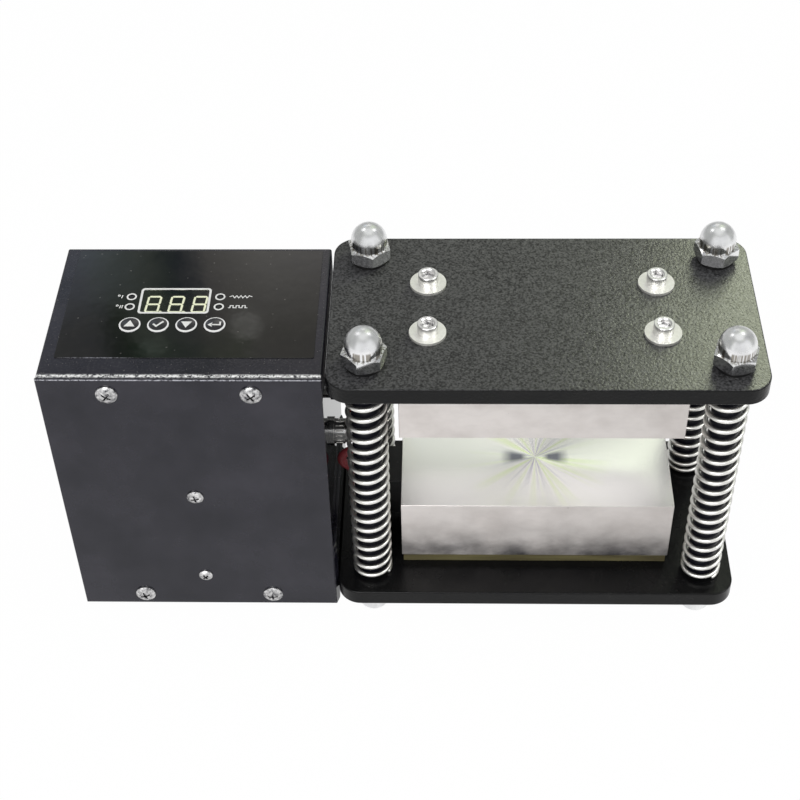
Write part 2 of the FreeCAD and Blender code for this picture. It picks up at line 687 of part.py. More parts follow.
def make_heater_block(z0, back_z, back_side, heater_z):
    """A heated block. back_side is 1 where its back faces up and -1 where it faces down."""
    blank = block(BLOCK_LEFT, BLOCK_LEFT + BLOCK_W, -BLOCK_D / 2.0, BLOCK_D / 2.0, z0, z0 + BLOCK_H)
    blank = blank.makeChamfer(BLOCK_CHAMFER, blank.Edges)
    tools = []
    depth = BLOCK_SCREW_ENGAGED + BORE_SPARE
    for x, y in BLOCK_SCREW_PLACES.values():
        ends = sorted((back_z, back_z - back_side * depth))
        tools.append(rod_z(tapped(BLOCK_SCREW_D), ends[0], ends[1], x, y))
    for y in (-HEATER_PITCH / 2.0, HEATER_PITCH / 2.0):
        tools.append(rod_x(HEATER_D + 2.0 * BORE_CLEARANCE, BLOCK_LEFT,
                           BLOCK_LEFT + HEATER_LENGTH + BORE_SPARE, y, heater_z))
    tools.append(rod_x(PROBE_D + 2.0 * BORE_CLEARANCE, BLOCK_LEFT, BLOCK_LEFT + PROBE_LENGTH + BORE_SPARE,
                       0, heater_z - back_side * PROBE_FROM_HEATERS))
    for y, z in cover_screw_places(heater_z):
        tools.append(rod_x(tapped(COVER_SCREW_D), BLOCK_LEFT,
                           BLOCK_LEFT + COVER_SCREW_ENGAGED + BORE_SPARE, y, z))
    return one_solid(cut_all(blank, tools))


def cover_screw_places(heater_z):
    """Y and Z of the two screws that hold a terminal cover."""
    reach_y = COVER_W / 2.0 - COVER_SCREW_FROM_EDGE
    reach_z = COVER_H / 2.0 - COVER_SCREW_FROM_EDGE
    return [(-reach_y, heater_z - reach_z), (reach_y, heater_z + reach_z)]


def make_heaters(heater_z):
    """Two heater cartridges with their ceramic end caps inside the terminal cover."""
    solids = []
    for y in (-HEATER_PITCH / 2.0, HEATER_PITCH / 2.0):
        body = rod_x(HEATER_D, BLOCK_LEFT, BLOCK_LEFT + HEATER_LENGTH, y, heater_z)
        cap = rod_x(HEATER_D * END_CAP_SHARE, BLOCK_LEFT - HEATER_CAP_LENGTH, BLOCK_LEFT, y, heater_z)
        solids.append(one_solid(body.fuse(cap)))
    return Part.makeCompound(solids)


def make_probe(heater_z, back_side):
    """The temperature probe of a block, between its heaters and its working face."""
    z = heater_z - back_side * PROBE_FROM_HEATERS
    body = rod_x(PROBE_D, BLOCK_LEFT, BLOCK_LEFT + PROBE_LENGTH, 0, z)
    tail = rod_x(PROBE_D * END_CAP_SHARE, BLOCK_LEFT - PROBE_TAIL_LENGTH, BLOCK_LEFT, 0, z)
    return one_solid(body.fuse(tail))


def make_terminal_cover(heater_z, port_y):
    """A folded cover over the heater ends, with a hole for the lead."""
    left = COVER_LEFT
    low = heater_z - COVER_H / 2.0
    high = heater_z + COVER_H / 2.0
    outer = block(left, BLOCK_LEFT, -COVER_W / 2.0, COVER_W / 2.0, low, high)
    inner = block(left + COVER_WALL, BLOCK_LEFT, -COVER_W / 2.0 + COVER_WALL, COVER_W / 2.0 - COVER_WALL,
                  low + COVER_WALL, high - COVER_WALL)
    cover = outer.cut(inner)
    for y, z in cover_screw_places(heater_z):
        cover = cover.fuse(rod_x(COVER_SCREW_HEAD_D, left, BLOCK_LEFT, y, z))
    tools = [rod_x(COVER_SCREW_D + 2.0 * SMALL_SCREW_CLEARANCE, left, BLOCK_LEFT, y, z) for y, z in cover_screw_places(heater_z)]
    tools.append(rod_x(LEAD_D - 2.0 * LEAD_PORT_LEDGE, left, left + COVER_WALL, port_y, heater_z))
    return one_solid(cut_all(cover, tools))


def make_cover_screws(heater_z):
    """Two small screws through a terminal cover into the block."""
    screw = cross_screw(COVER_SCREW_HEAD_D, COVER_SCREW_HEAD_H, COVER_SCREW_D,
                        COVER_DEPTH + COVER_SCREW_ENGAGED)
    screw = rotated(screw, Vector(0, 1, 0), -90)
    return Part.makeCompound([moved(screw, COVER_LEFT, y, z) for y, z in cover_screw_places(heater_z)])


def make_block_screws(seat_z, side):
    """The four screws of a block. side is 1 where the heads face up and -1 where they face down."""
    length = BLOCK_WASHER_T + PLATE_T + BOARD_T + BLOCK_SCREW_ENGAGED
    screw = cap_screw(length)
    if side < 0:
        screw = rotated(screw, Vector(1, 0, 0), 180)
    head_z = seat_z + side * BLOCK_WASHER_T
    return Part.makeCompound([moved(screw, x, y, head_z) for x, y in BLOCK_SCREW_PLACES.values()])


def make_block_washers(seat_z, side):
    """The four large washers of a block's screws."""
    ring = washer(BLOCK_WASHER_D, BLOCK_SCREW_D + 2.0 * BLOCK_SCREW_HOLE_CLEARANCE, BLOCK_WASHER_T)
    low = min(seat_z, seat_z + side * BLOCK_WASHER_T)
    return Part.makeCompound([moved(ring, x, y, low) for x, y in BLOCK_SCREW_PLACES.values()])


def make_stop_washers(z0):
    """Four black washers between the dome nuts and a plate."""
    ring = washer(STOP_WASHER_D, ROD_END_D + 2.0 * ROD_HOLE_CLEARANCE, STOP_WASHER_T)
    return Part.makeCompound([moved(ring, x, y, z0) for x, y in ROD_PLACES.values()])


def make_upper_nuts():
    """The four dome nuts on top of the cage."""
    z = HEAD_PLATE_TOP + STOP_WASHER_T
    return Part.makeCompound([moved(dome_nut(NUT_TURNS[name]), x, y, z)
                              for name, (x, y) in ROD_PLACES.items()])


def make_lower_nuts():
    """The four dome nuts that the cage stands on."""
    nuts = []
    for name, (x, y) in ROD_PLACES.items():
        nut = rotated(dome_nut(-NUT_TURNS[name]), Vector(1, 0, 0), 180)
        nuts.append(moved(nut, x, y, NUT_H))
    return Part.makeCompound(nuts)


def make_guide_bushes():
    """Plain bushes pressed into the upper plate."""
    bush = washer(BUSH_D, ROD_D + 2.0 * BUSH_RUNNING_CLEARANCE, PLATE_T)
    return Part.makeCompound([moved(bush, x, y, HEAD_PLATE_Z) for x, y in ROD_PLACES.values()])


def front_screw_places():
    """X and Z of the four screws at the corners of the front cover."""
    centre_x = BOX_X + FRONT_SCREW_SHIFT_X
    heights = (BOX_Z + FRONT_SCREW_FROM_BOTTOM, BOX_TOP - FRONT_SCREW_FROM_TOP)
    return [(centre_x + side * FRONT_SCREW_PITCH_X / 2.0, z) for side in (-1, 1) for z in heights]


def inner_screw_places():
    """X and Z of the two transformer screws on the front cover, the lower one first."""
    low = BOX_Z + LOWER_INNER_SCREW_Z
    return (BOX_X + LOWER_INNER_SCREW_SHIFT_X, low), (BOX_X, low + INNER_SCREW_PITCH)


def panel_point(from_x, from_y):
    """A point of the panel's layout, measured from the middle of the box."""
    return BOX_X + from_x, BOX_SHIFT_Y + from_y


def button_places():
    """X and Y of the buttons, from left to right."""
    first = BUTTON_ROW_X - BUTTON_PITCH * (BUTTON_COUNT - 1) / 2.0
    return [panel_point(first + BUTTON_PITCH * i, BUTTON_ROW_Y) for i in range(BUTTON_COUNT)]


def light_places():
    """X and Y of the four indicator lights beside the window."""
    return [panel_point(WINDOW_CENTRE_X + sx * LIGHT_PITCH_X / 2.0, LIGHT_ROW_Y + sy * LIGHT_PITCH_Y / 2.0)
            for sx in (-1, 1) for sy in (-1, 1)]


def panel_holes(z0, z1):
    """The openings of the panel, through the film or the top of the shell."""
    x, y = panel_point(WINDOW_CENTRE_X, WINDOW_CENTRE_Y)
    tools = [rounded_plate(x, y, WINDOW_W + 2.0 * WINDOW_CLEARANCE, WINDOW_D + 2.0 * WINDOW_CLEARANCE,
                           z0, z1, WINDOW_CORNER_R + WINDOW_CLEARANCE)]
    tools += [rod_z(BUTTON_D + 2.0 * BUTTON_CLEARANCE, z0, z1, bx, by) for bx, by in button_places()]
    tools += [rod_z(LIGHT_D + 2.0 * LIGHT_CLEARANCE, z0, z1, lx, ly) for lx, ly in light_places()]
    return tools


def connector_places():
    """Y of the two connectors: the front one serves the lower block."""
    return -CONNECTOR_OFFSET_Y, CONNECTOR_OFFSET_Y


def side_openings(x0, x1):
    """Holes in the right wall for the connectors and the cage screws."""
    tools = [rod_x(SOCKET_BODY_D + 2.0 * SOCKET_HOLE_CLEARANCE, x0, x1, y, CONNECTOR_Z)
             for y in connector_places()]
    return tools + cage_screw_holes(x0, x1)


def cage_screw_holes(x0, x1):
    """Clearance holes for the screws into the lower plate's edge."""
    z = FLOOR_PLATE_Z + PLATE_T / 2.0
    return [rod_x(CAGE_SCREW_D + 2.0 * SCREW_CLEARANCE, x0, x1, y, z) for y in cage_screw_places()]


def inlet_centre():
    """X and Z of the mains inlet on the back of the box."""
    return BOX_LEFT + INLET_FROM_BOX_LEFT, BOX_Z + INLET_CENTRE_Z


def switch_centre():
    """X and Z of the power switch, beside the inlet."""
    x, z = inlet_centre()
    return x + SWITCH_FROM_INLET, z


def relay_centre():
    """X and Z of the solid state relay on the back wall."""
    return BOX_LEFT + RELAY_FROM_BOX_LEFT + RELAY_W / 2.0, BOX_Z + RELAY_FLOOR_Z + RELAY_H / 2.0


def back_openings(y0, y1):
    """Holes in the back wall for the inlet, the switch and their screws."""
    x, z = inlet_centre()
    tools = [block(x - INLET_BODY_W / 2.0, x + INLET_BODY_W / 2.0, y0, y1,
                   z - INLET_BODY_H / 2.0, z + INLET_BODY_H / 2.0)]
    tools += [rod_y(tapped(INLET_SCREW_D), y0, y1, x + side * INLET_SCREW_PITCH / 2.0, z)
              for side in (-1, 1)]
    sx, sz = switch_centre()
    tools.append(block(sx - SWITCH_BODY_W / 2.0, sx + SWITCH_BODY_W / 2.0, y0, y1,
                       sz - SWITCH_BODY_H / 2.0, sz + SWITCH_BODY_H / 2.0))
    rx, rz = relay_centre()
    tools += [rod_y(tapped(RELAY_SCREW_D), y0, y1, rx, rz + side * RELAY_SCREW_PITCH / 2.0)
              for side in (-1, 1)]
    return tools


def make_box_shell():
    """The five-sided shell of the control box, with flanges for the front cover."""
    outer = block(BOX_LEFT, BOX_RIGHT, SHELL_FRONT, BOX_BACK, BOX_Z, BOX_TOP)
    long_edges = [edge for edge in outer.Edges
                  if abs(edge.Vertexes[0].Y - edge.Vertexes[-1].Y) > BOX_D / 2.0]
    outer = outer.makeFillet(BOX_CORNER_R, long_edges)
    inner = block(BOX_LEFT + BOX_WALL, BOX_RIGHT - BOX_WALL, SHELL_FRONT, BOX_BACK - BOX_WALL,
                  BOX_Z + BOX_WALL, BOX_TOP - BOX_WALL)
    shell = outer.cut(inner)
    flange_y = (SHELL_FRONT, SHELL_FRONT + BOX_WALL)
    for low in (BOX_Z + BOX_WALL, BOX_TOP - BOX_WALL - FLANGE_H):
        shell = shell.fuse(block(BOX_LEFT + BOX_WALL, BOX_RIGHT - BOX_WALL, flange_y[0], flange_y[1],
                                 low, low + FLANGE_H))
    tools = [rod_y(tapped(FRONT_SCREW_D), flange_y[0], flange_y[1], x, z)
             for x, z in front_screw_places()]
    tools += panel_holes(BOX_TOP - BOX_WALL, BOX_TOP)
    tools += side_openings(BOX_RIGHT - BOX_WALL, BOX_RIGHT)
    tools += back_openings(BOX_BACK - BOX_WALL, BOX_BACK)
    return one_solid(cut_all(shell, tools))


def make_front_cover():
    """The flat front cover of the control box."""
    cover = block(BOX_LEFT, BOX_RIGHT, BOX_FRONT, SHELL_FRONT, BOX_Z, BOX_TOP)
    cover = cover.makeFillet(COVER_EDGE_R, [edge for edge in cover.Edges
                                            if abs(edge.CenterOfMass.y - BOX_FRONT) < TOLERANCE])
    tools = [rod_y(FRONT_SCREW_D + 2.0 * SCREW_CLEARANCE, BOX_FRONT, SHELL_FRONT, x, z)
             for x, z in front_screw_places()]
    for diameter, (x, z) in zip((LOWER_INNER_SCREW_D, UPPER_INNER_SCREW_D), inner_screw_places()):
        tools.append(rod_y(diameter + 2.0 * SMALL_SCREW_CLEARANCE, BOX_FRONT, SHELL_FRONT, x, z))
    return one_solid(cut_all(cover, tools))


def make_front_screws():
    """The six screws of the front cover. The middle two also hold the transformer."""
    solids = []
    for i, (x, z) in enumerate(front_screw_places()):
        screw = cross_screw(FRONT_SCREW_HEAD_D, FRONT_SCREW_HEAD_H, FRONT_SCREW_D,
                            COVER_PLATE_T + FRONT_SCREW_REACH, FIRST_CROSS_TURN + NEXT_CROSS_TURN * i)
        solids.append(moved(rotated(screw, Vector(1, 0, 0), 90), x, BOX_FRONT, z))
    reach = COVER_PLATE_T + TRANSFORMER_EAR_T + INNER_SCREW_REACH
    lower = cross_screw(LOWER_INNER_SCREW_HEAD_D, INNER_SCREW_HEAD_H, LOWER_INNER_SCREW_D, reach,
                        LOWER_CROSS_TURN)
    upper = cross_screw(UPPER_INNER_SCREW_HEAD_D, INNER_SCREW_HEAD_H, UPPER_INNER_SCREW_D, reach,
                        UPPER_CROSS_TURN)
    for screw, (x, z) in zip((lower, upper), inner_screw_places()):
        solids.append(moved(rotated(screw, Vector(1, 0, 0), 90), x, BOX_FRONT, z))
    return Part.makeCompound(solids)


def make_transformer():
    """The low-voltage transformer: a laminated core, its coil and a strap with two ears."""
    (low_x, low), (high_x, high) = inner_screw_places()
    middle = (low + high) / 2.0
    ear_back = SHELL_FRONT + TRANSFORMER_EAR_T
    strap = block(BOX_X - TRANSFORMER_EAR_W / 2.0, BOX_X + TRANSFORMER_EAR_W / 2.0, SHELL_FRONT, ear_back,
                  low - TRANSFORMER_EAR_SPARE, high + TRANSFORMER_EAR_SPARE)
    half_core = TRANSFORMER_CORE_D / 2.0
    centre_y = ear_back + TRANSFORMER_D / 2.0
    core = block(BOX_X - TRANSFORMER_W / 2.0, BOX_X + TRANSFORMER_W / 2.0,
                 centre_y - half_core, centre_y + half_core,
                 middle - TRANSFORMER_H / 2.0, middle + TRANSFORMER_H / 2.0)
    coil = block(BOX_X - TRANSFORMER_W / 4.0, BOX_X + TRANSFORMER_W / 4.0, ear_back,
                 ear_back + TRANSFORMER_D, middle - TRANSFORMER_H / 3.0, middle + TRANSFORMER_H / 3.0)
    tools = [rod_y(tapped(LOWER_INNER_SCREW_D), SHELL_FRONT, ear_back, low_x, low),
             rod_y(tapped(UPPER_INNER_SCREW_D), SHELL_FRONT, ear_back, high_x, high)]
    return one_solid(cut_all(strap.fuse([core, coil]), tools))


def make_film():
    """The glossy film on the top of the box."""
    x = BOX_X + FILM_CENTRE_FROM_BOX_X
    y = BOX_BACK - FILM_FROM_BACK - FILM_D / 2.0
    film = rounded_plate(x, y, FILM_W, FILM_D, BOX_TOP, FILM_TOP, FILM_CORNER_R)
    return one_solid(cut_all(film, panel_holes(BOX_TOP, FILM_TOP)))


def make_window():
    """The clear window over the display, flush with the film."""
    x, y = panel_point(WINDOW_CENTRE_X, WINDOW_CENTRE_Y)
    return rounded_plate(x, y, WINDOW_W, WINDOW_D, FILM_TOP - WINDOW_T, FILM_TOP, WINDOW_CORNER_R)


def make_display():
    """The three-digit display module on the control board."""
    x, y = panel_point(WINDOW_CENTRE_X, WINDOW_CENTRE_Y)
    return block(x - DISPLAY_W / 2.0, x + DISPLAY_W / 2.0, y - DISPLAY_D / 2.0, y + DISPLAY_D / 2.0,
                 CIRCUIT_TOP, CIRCUIT_TOP + DISPLAY_H)


def standoff_places():
    """X and Y of the control board's four standoffs."""
    x, y = panel_point(WINDOW_CENTRE_X, CIRCUIT_SHIFT_Y)
    return corners(BOARD_W - 2.0 * STANDOFF_FROM_EDGE, BOARD_D - 2.0 * STANDOFF_FROM_EDGE, x, y)


def make_control_board():
    """The printed circuit board under the panel."""
    x, y = panel_point(WINDOW_CENTRE_X, CIRCUIT_SHIFT_Y)
    board = block(x - BOARD_W / 2.0, x + BOARD_W / 2.0, y - BOARD_D / 2.0, y + BOARD_D / 2.0,
                  CIRCUIT_TOP - CIRCUIT_T, CIRCUIT_TOP)
    hole_d = STANDOFF_SCREW_D + 2.0 * SMALL_SCREW_CLEARANCE
    tools = [rod_z(hole_d, CIRCUIT_TOP - CIRCUIT_T, CIRCUIT_TOP, sx, sy)
             for sx, sy in standoff_places().values()]
    return one_solid(cut_all(board, tools))


def make_standoffs():
    """Threaded posts between the box's top and the control board."""
    post = rod_z(STANDOFF_D, CIRCUIT_TOP, BOX_TOP - BOX_WALL)
    hole = rod_z(tapped(STANDOFF_SCREW_D), CIRCUIT_TOP, CIRCUIT_TOP + STANDOFF_SCREW_REACH + HOLE_SPARE)
    return Part.makeCompound([moved(post.cut(hole), x, y, 0) for x, y in standoff_places().values()])


def make_board_screws():
    """Screws that hold the control board up to its standoffs."""
    screw = cross_screw(STANDOFF_SCREW_HEAD_D, STANDOFF_SCREW_HEAD_H, STANDOFF_SCREW_D,
                        CIRCUIT_T + STANDOFF_SCREW_REACH)
    screw = rotated(screw, Vector(1, 0, 0), 180)
    return Part.makeCompound([moved(screw, x, y, CIRCUIT_TOP - CIRCUIT_T)
                              for x, y in standoff_places().values()])


def button_seat():
    """Height of a button's underside at rest."""
    return BOX_TOP - BOX_WALL - BUTTON_COLLAR_T


def make_button(x, y):
    """A round button with a slight crown and a collar that keeps it under the panel."""
    radius = BUTTON_D / 2.0
    low = button_seat()
    rim = FILM_TOP + BUTTON_PROUD - BUTTON_CROWN
    top = FILM_TOP + BUTTON_PROUD
    collar_r = BUTTON_COLLAR_D / 2.0
    lines = [Vector(0, 0, low), Vector(collar_r, 0, low), Vector(collar_r, 0, low + BUTTON_COLLAR_T),
             Vector(radius, 0, low + BUTTON_COLLAR_T), Vector(radius, 0, rim)]
    edges = [Part.LineSegment(a, b).toShape() for a, b in zip(lines, lines[1:])]
    edges.append(crown_arc(radius, rim, top).toShape())
    edges.append(Part.LineSegment(Vector(0, 0, top), lines[0]).toShape())
    cap = Part.Face(Part.Wire(edges)).revolve(Vector(0, 0, 0), Vector(0, 0, 1), 360)
    return moved(cap.Solids[0] if cap.ShapeType != "Solid" else cap, x, y, 0)


def make_tact_switches():
    """One small switch under each button, with its plunger just short of the button."""
    solids = []
    top = button_seat() - BUTTON_TRAVEL - TACT_GAP
    for x, y in button_places():
        body = block(x - TACT_W / 2.0, x + TACT_W / 2.0, y - TACT_W / 2.0, y + TACT_W / 2.0,
                     CIRCUIT_TOP, CIRCUIT_TOP + TACT_BODY_H)
        solids.append(one_solid(body.fuse(rod_z(TACT_STEM_D, CIRCUIT_TOP + TACT_BODY_H, top, x, y))))
    return Part.makeCompound(solids)


def make_lights():
    """Four small indicator lights that reach up from the board to the film."""
    solids = []
    top = FILM_TOP - LIGHT_BELOW_FILM_TOP
    for x, y in light_places():
        stem = rod_z(LIGHT_D, CIRCUIT_TOP, top, x, y)
        solids.append(stem.makeFillet(LIGHT_EDGE_R, [edge for edge in stem.Edges
                                                     if abs(edge.CenterOfMass.z - top) < TOLERANCE]))
    return Part.makeCompound(solids)


def make_relay():
    """The solid state relay on the back wall, with a foot at each end."""
    x, z = relay_centre()
    back = BOX_BACK - BOX_WALL
    foot = block(x - RELAY_W / 2.0, x + RELAY_W / 2.0, back - RELAY_FOOT_T, back,
                 z - RELAY_H / 2.0, z + RELAY_H / 2.0)
    reach = RELAY_SCREW_PITCH / 2.0 - RELAY_SCREW_HEAD_D / 2.0 - RELAY_BODY_FROM_HEADS
    body = block(x - RELAY_W / 2.0, x + RELAY_W / 2.0, back - RELAY_D, back - RELAY_FOOT_T,
                 z - reach, z + reach)
    tools = [rod_y(RELAY_SCREW_D + 2.0 * SCREW_CLEARANCE, back - RELAY_FOOT_T, back, x,
                   z + side * RELAY_SCREW_PITCH / 2.0) for side in (-1, 1)]
    return one_solid(cut_all(foot.fuse(body), tools))


def make_inlet():
    """The mains inlet: a flanged body with a socket, three pins and a bay for the fuse drawer."""
    x, z = inlet_centre()
    face = BOX_BACK + INLET_FLANGE_T
    flange = block(x - INLET_FLANGE_W / 2.0, x + INLET_FLANGE_W / 2.0, BOX_BACK, face,
                   z - INLET_FLANGE_H / 2.0, z + INLET_FLANGE_H / 2.0)
    flange = flange.makeFillet(INLET_EDGE_R, [edge for edge in flange.Edges
                                              if abs(edge.CenterOfMass.y - face) < TOLERANCE])
    body = block(x - INLET_BODY_W / 2.0, x + INLET_BODY_W / 2.0, face - INLET_BODY_D, BOX_BACK,
                 z - INLET_BODY_H / 2.0, z + INLET_BODY_H / 2.0)
    socket_z = z + INLET_SOCKET_RAISE
    socket_back = face - INLET_SOCKET_DEPTH
    socket = block(x - INLET_SOCKET_W / 2.0, x + INLET_SOCKET_W / 2.0, socket_back, face,
                   socket_z - INLET_SOCKET_H / 2.0, socket_z + INLET_SOCKET_H / 2.0)
    drawer_z = z - FUSE_DRAWER_DROP
    bay = block(x - FUSE_DRAWER_W / 2.0 - DRAWER_CLEARANCE, x + FUSE_DRAWER_W / 2.0 + DRAWER_CLEARANCE,
                face - FUSE_DRAWER_D, face,
                drawer_z - FUSE_DRAWER_H / 2.0 - DRAWER_CLEARANCE,
                drawer_z + FUSE_DRAWER_H / 2.0 + DRAWER_CLEARANCE)
    tools = [socket, bay]
    hole_d = INLET_SCREW_D + 2.0 * SCREW_CLEARANCE
    tools += [rod_y(hole_d, BOX_BACK, face, x + side * INLET_SCREW_PITCH / 2.0, z) for side in (-1, 1)]
    inlet = cut_all(flange.fuse(body), tools)
    half = INLET_PIN_PITCH / 2.0
    pins = [(x - half, socket_z), (x, socket_z + INLET_EARTH_OFFSET), (x + half, socket_z)]
    for px, pz in pins:
        inlet = inlet.fuse(block(px - INLET_PIN_W / 2.0, px + INLET_PIN_W / 2.0, socket_back,
                                 socket_back + INLET_PIN_LENGTH, pz - INLET_PIN_H / 2.0,
                                 pz + INLET_PIN_H / 2.0))
    return one_solid(inlet)


def make_fuse_drawer():
    """The fuse drawer, which fills its bay under the socket."""
    x, z = inlet_centre()
    face = BOX_BACK + INLET_FLANGE_T
    drawer_z = z - FUSE_DRAWER_DROP
    drawer = block(x - FUSE_DRAWER_W / 2.0, x + FUSE_DRAWER_W / 2.0, face - FUSE_DRAWER_D,
                   face + FUSE_DRAWER_PROUD, drawer_z - FUSE_DRAWER_H / 2.0, drawer_z + FUSE_DRAWER_H / 2.0)
    top = drawer_z + FUSE_DRAWER_H / 2.0
    notch = block(x - DRAWER_NOTCH_W / 2.0, x + DRAWER_NOTCH_W / 2.0, face - DRAWER_NOTCH_DEPTH,
                  face + FUSE_DRAWER_PROUD, top - DRAWER_NOTCH_H, top)
    return one_solid(drawer.cut(notch))


def make_rear_wall_screws():
    """The inlet's two screws from outside and the relay's two screws from inside."""
    ix, iz = inlet_centre()
    outer = cross_screw(INLET_SCREW_HEAD_D, INLET_SCREW_HEAD_H, INLET_SCREW_D, INLET_FLANGE_T + BOX_WALL)
    outer = rotated(outer, Vector(1, 0, 0), -90)
    rx, rz = relay_centre()
    inner = cross_screw(RELAY_SCREW_HEAD_D, RELAY_SCREW_HEAD_H, RELAY_SCREW_D, RELAY_FOOT_T + BOX_WALL)
    inner = rotated(inner, Vector(1, 0, 0), 90)
    seat = BOX_BACK - BOX_WALL - RELAY_FOOT_T
    solids = []
    for side in (-1, 1):
        solids.append(moved(outer, ix + side * INLET_SCREW_PITCH / 2.0, BOX_BACK + INLET_FLANGE_T, iz))
        solids.append(moved(inner, rx, seat, rz + side * RELAY_SCREW_PITCH / 2.0))
    return Part.makeCompound(solids)


def rocker_pivot():
    """X, Y and Z of the middle of the rocker's pivot."""
    x, z = switch_centre()
    return x, BOX_BACK + SWITCH_BEZEL_T - ROCKER_PIVOT_DEPTH, z


def make_switch_housing():
    """The power switch's housing, with its bezel and the rocker's pin."""
    x, z = switch_centre()
    face = BOX_BACK + SWITCH_BEZEL_T
    bezel = block(x - SWITCH_BEZEL_W / 2.0, x + SWITCH_BEZEL_W / 2.0, BOX_BACK, face,
                  z - SWITCH_BEZEL_H / 2.0, z + SWITCH_BEZEL_H / 2.0)
    bezel = bezel.makeFillet(SWITCH_EDGE_R, [edge for edge in bezel.Edges
                                             if abs(edge.CenterOfMass.y - face) < TOLERANCE])
    body = block(x - SWITCH_BODY_W / 2.0, x + SWITCH_BODY_W / 2.0, face - SWITCH_BODY_D, BOX_BACK,
                 z - SWITCH_BODY_H / 2.0, z + SWITCH_BODY_H / 2.0)
    half_w = ROCKER_W / 2.0 + ROCKER_CLEARANCE
    half_h = ROCKER_R + ROCKER_CLEARANCE
    px, py, pz = rocker_pivot()
    well = block(px - half_w, px + half_w, py - half_h, face, pz - half_h, pz + half_h)
    pin = rod_x(ROCKER_PIN_D, px - half_w, px + half_w, py, pz)
    return one_solid(bezel.fuse(body).cut(well).fuse(pin))


def make_rocker():
    """The rocker, a drum cut to two faces that meet in a crease, turned to its off position."""
    px, py, pz = rocker_pivot()
    drum = rod_x(2.0 * ROCKER_R, -ROCKER_W / 2.0, ROCKER_W / 2.0, 0, 0)
    lift = ROCKER_R * math.tan(math.radians(ROCKER_TILT))
    outline = [(-ROCKER_BACK, -ROCKER_R), (ROCKER_CREASE + lift, -ROCKER_R), (ROCKER_CREASE, 0),
               (ROCKER_CREASE + lift, ROCKER_R), (-ROCKER_BACK, ROCKER_R)]
    points = [Vector(-ROCKER_W / 2.0, y, z) for y, z in outline]
    wedge = Part.Face(Part.makePolygon(points + points[:1])).extrude(Vector(ROCKER_W, 0, 0))
    hole = rod_x(ROCKER_PIN_D + 2.0 * ROCKER_PIN_CLEARANCE, -ROCKER_W, ROCKER_W, 0, 0)
    rocker = one_solid(drum.common(wedge).cut(hole))
    return moved(rotated(rocker, Vector(1, 0, 0), -ROCKER_TILT), px, py, pz)


def make_sockets():
    """The two round sockets in the box's right wall, each with its nut inside."""
    nut_x = BOX_RIGHT - BOX_WALL - SOCKET_NUT_T
    solids = []
    for y in connector_places():
        flange = rod_x(SOCKET_FLANGE_D, BOX_RIGHT, BOX_RIGHT + SOCKET_FLANGE_T, y, CONNECTOR_Z)
        body = rod_x(SOCKET_BODY_D, BOX_RIGHT - SOCKET_BODY_REACH, BOX_RIGHT + SOCKET_FLANGE_T,
                     y, CONNECTOR_Z)
        nut = rod_x(SOCKET_NUT_D, nut_x, nut_x + SOCKET_NUT_T, y, CONNECTOR_Z)
        solids.append(one_solid(flange.fuse([body, nut])))
    return Part.makeCompound(solids)


def make_plugs():
    """The two plugs, each with a knurled ring and a plain barrel."""
    x0 = BOX_RIGHT + SOCKET_FLANGE_T
    ring = rod_x(PLUG_D, x0, x0 + PLUG_RING_LENGTH, 0, 0)
    barrel = rod_x(PLUG_BARREL_D, x0 + PLUG_RING_LENGTH, PLUG_END, 0, 0)
    grooves = []
    for i in range(PLUG_KNURLS):
        groove = rod_x(2.0 * PLUG_KNURL_DEPTH, x0 + PLUG_KNURL_MARGIN,
                       x0 + PLUG_RING_LENGTH - PLUG_KNURL_MARGIN, 0, PLUG_D / 2.0)
        grooves.append(rotated(groove, Vector(1, 0, 0), 360.0 * i / PLUG_KNURLS))
    plug = one_solid(cut_all(ring.fuse(barrel), grooves))
    return Part.makeCompound([moved(plug, 0, y, CONNECTOR_Z) for y in connector_places()])


def make_side_plate():
    """The plate between the box and the lower cage plate's edge, with bevelled upright edges."""
    front = BOX_FRONT + SIDE_PLATE_INSET
    back = BOX_BACK - SIDE_PLATE_INSET
    thin = BOX_RIGHT + SIDE_PLATE_EDGE_T
    outline = [(BOX_RIGHT, front), (thin, front), (CAGE_LEFT, front + SIDE_PLATE_BEVEL),
               (CAGE_LEFT, back - SIDE_PLATE_BEVEL), (thin, back), (BOX_RIGHT, back)]
    points = [Vector(x, y, BOX_Z) for x, y in outline]
    high = FLOOR_PLATE_TOP + SIDE_PLATE_ABOVE_CAGE_FLOOR
    plate = Part.Face(Part.makePolygon(points + points[:1])).extrude(Vector(0, 0, high - BOX_Z))
    return one_solid(cut_all(plate, cage_screw_holes(BOX_RIGHT, CAGE_LEFT)))


def make_cage_screws():
    """Three screws from inside the box into the lower plate's edge."""
    length = BOX_WALL + SIDE_PLATE_T + CAGE_SCREW_ENGAGED - HOLE_SPARE
    screw = cross_screw(CAGE_SCREW_HEAD_D, CAGE_SCREW_HEAD_H, CAGE_SCREW_D, length)
    screw = rotated(screw, Vector(0, 1, 0), -90)
    z = FLOOR_PLATE_Z + PLATE_T / 2.0
    return Part.makeCompound([moved(screw, BOX_RIGHT - BOX_WALL, y, z) for y in cage_screw_places()])


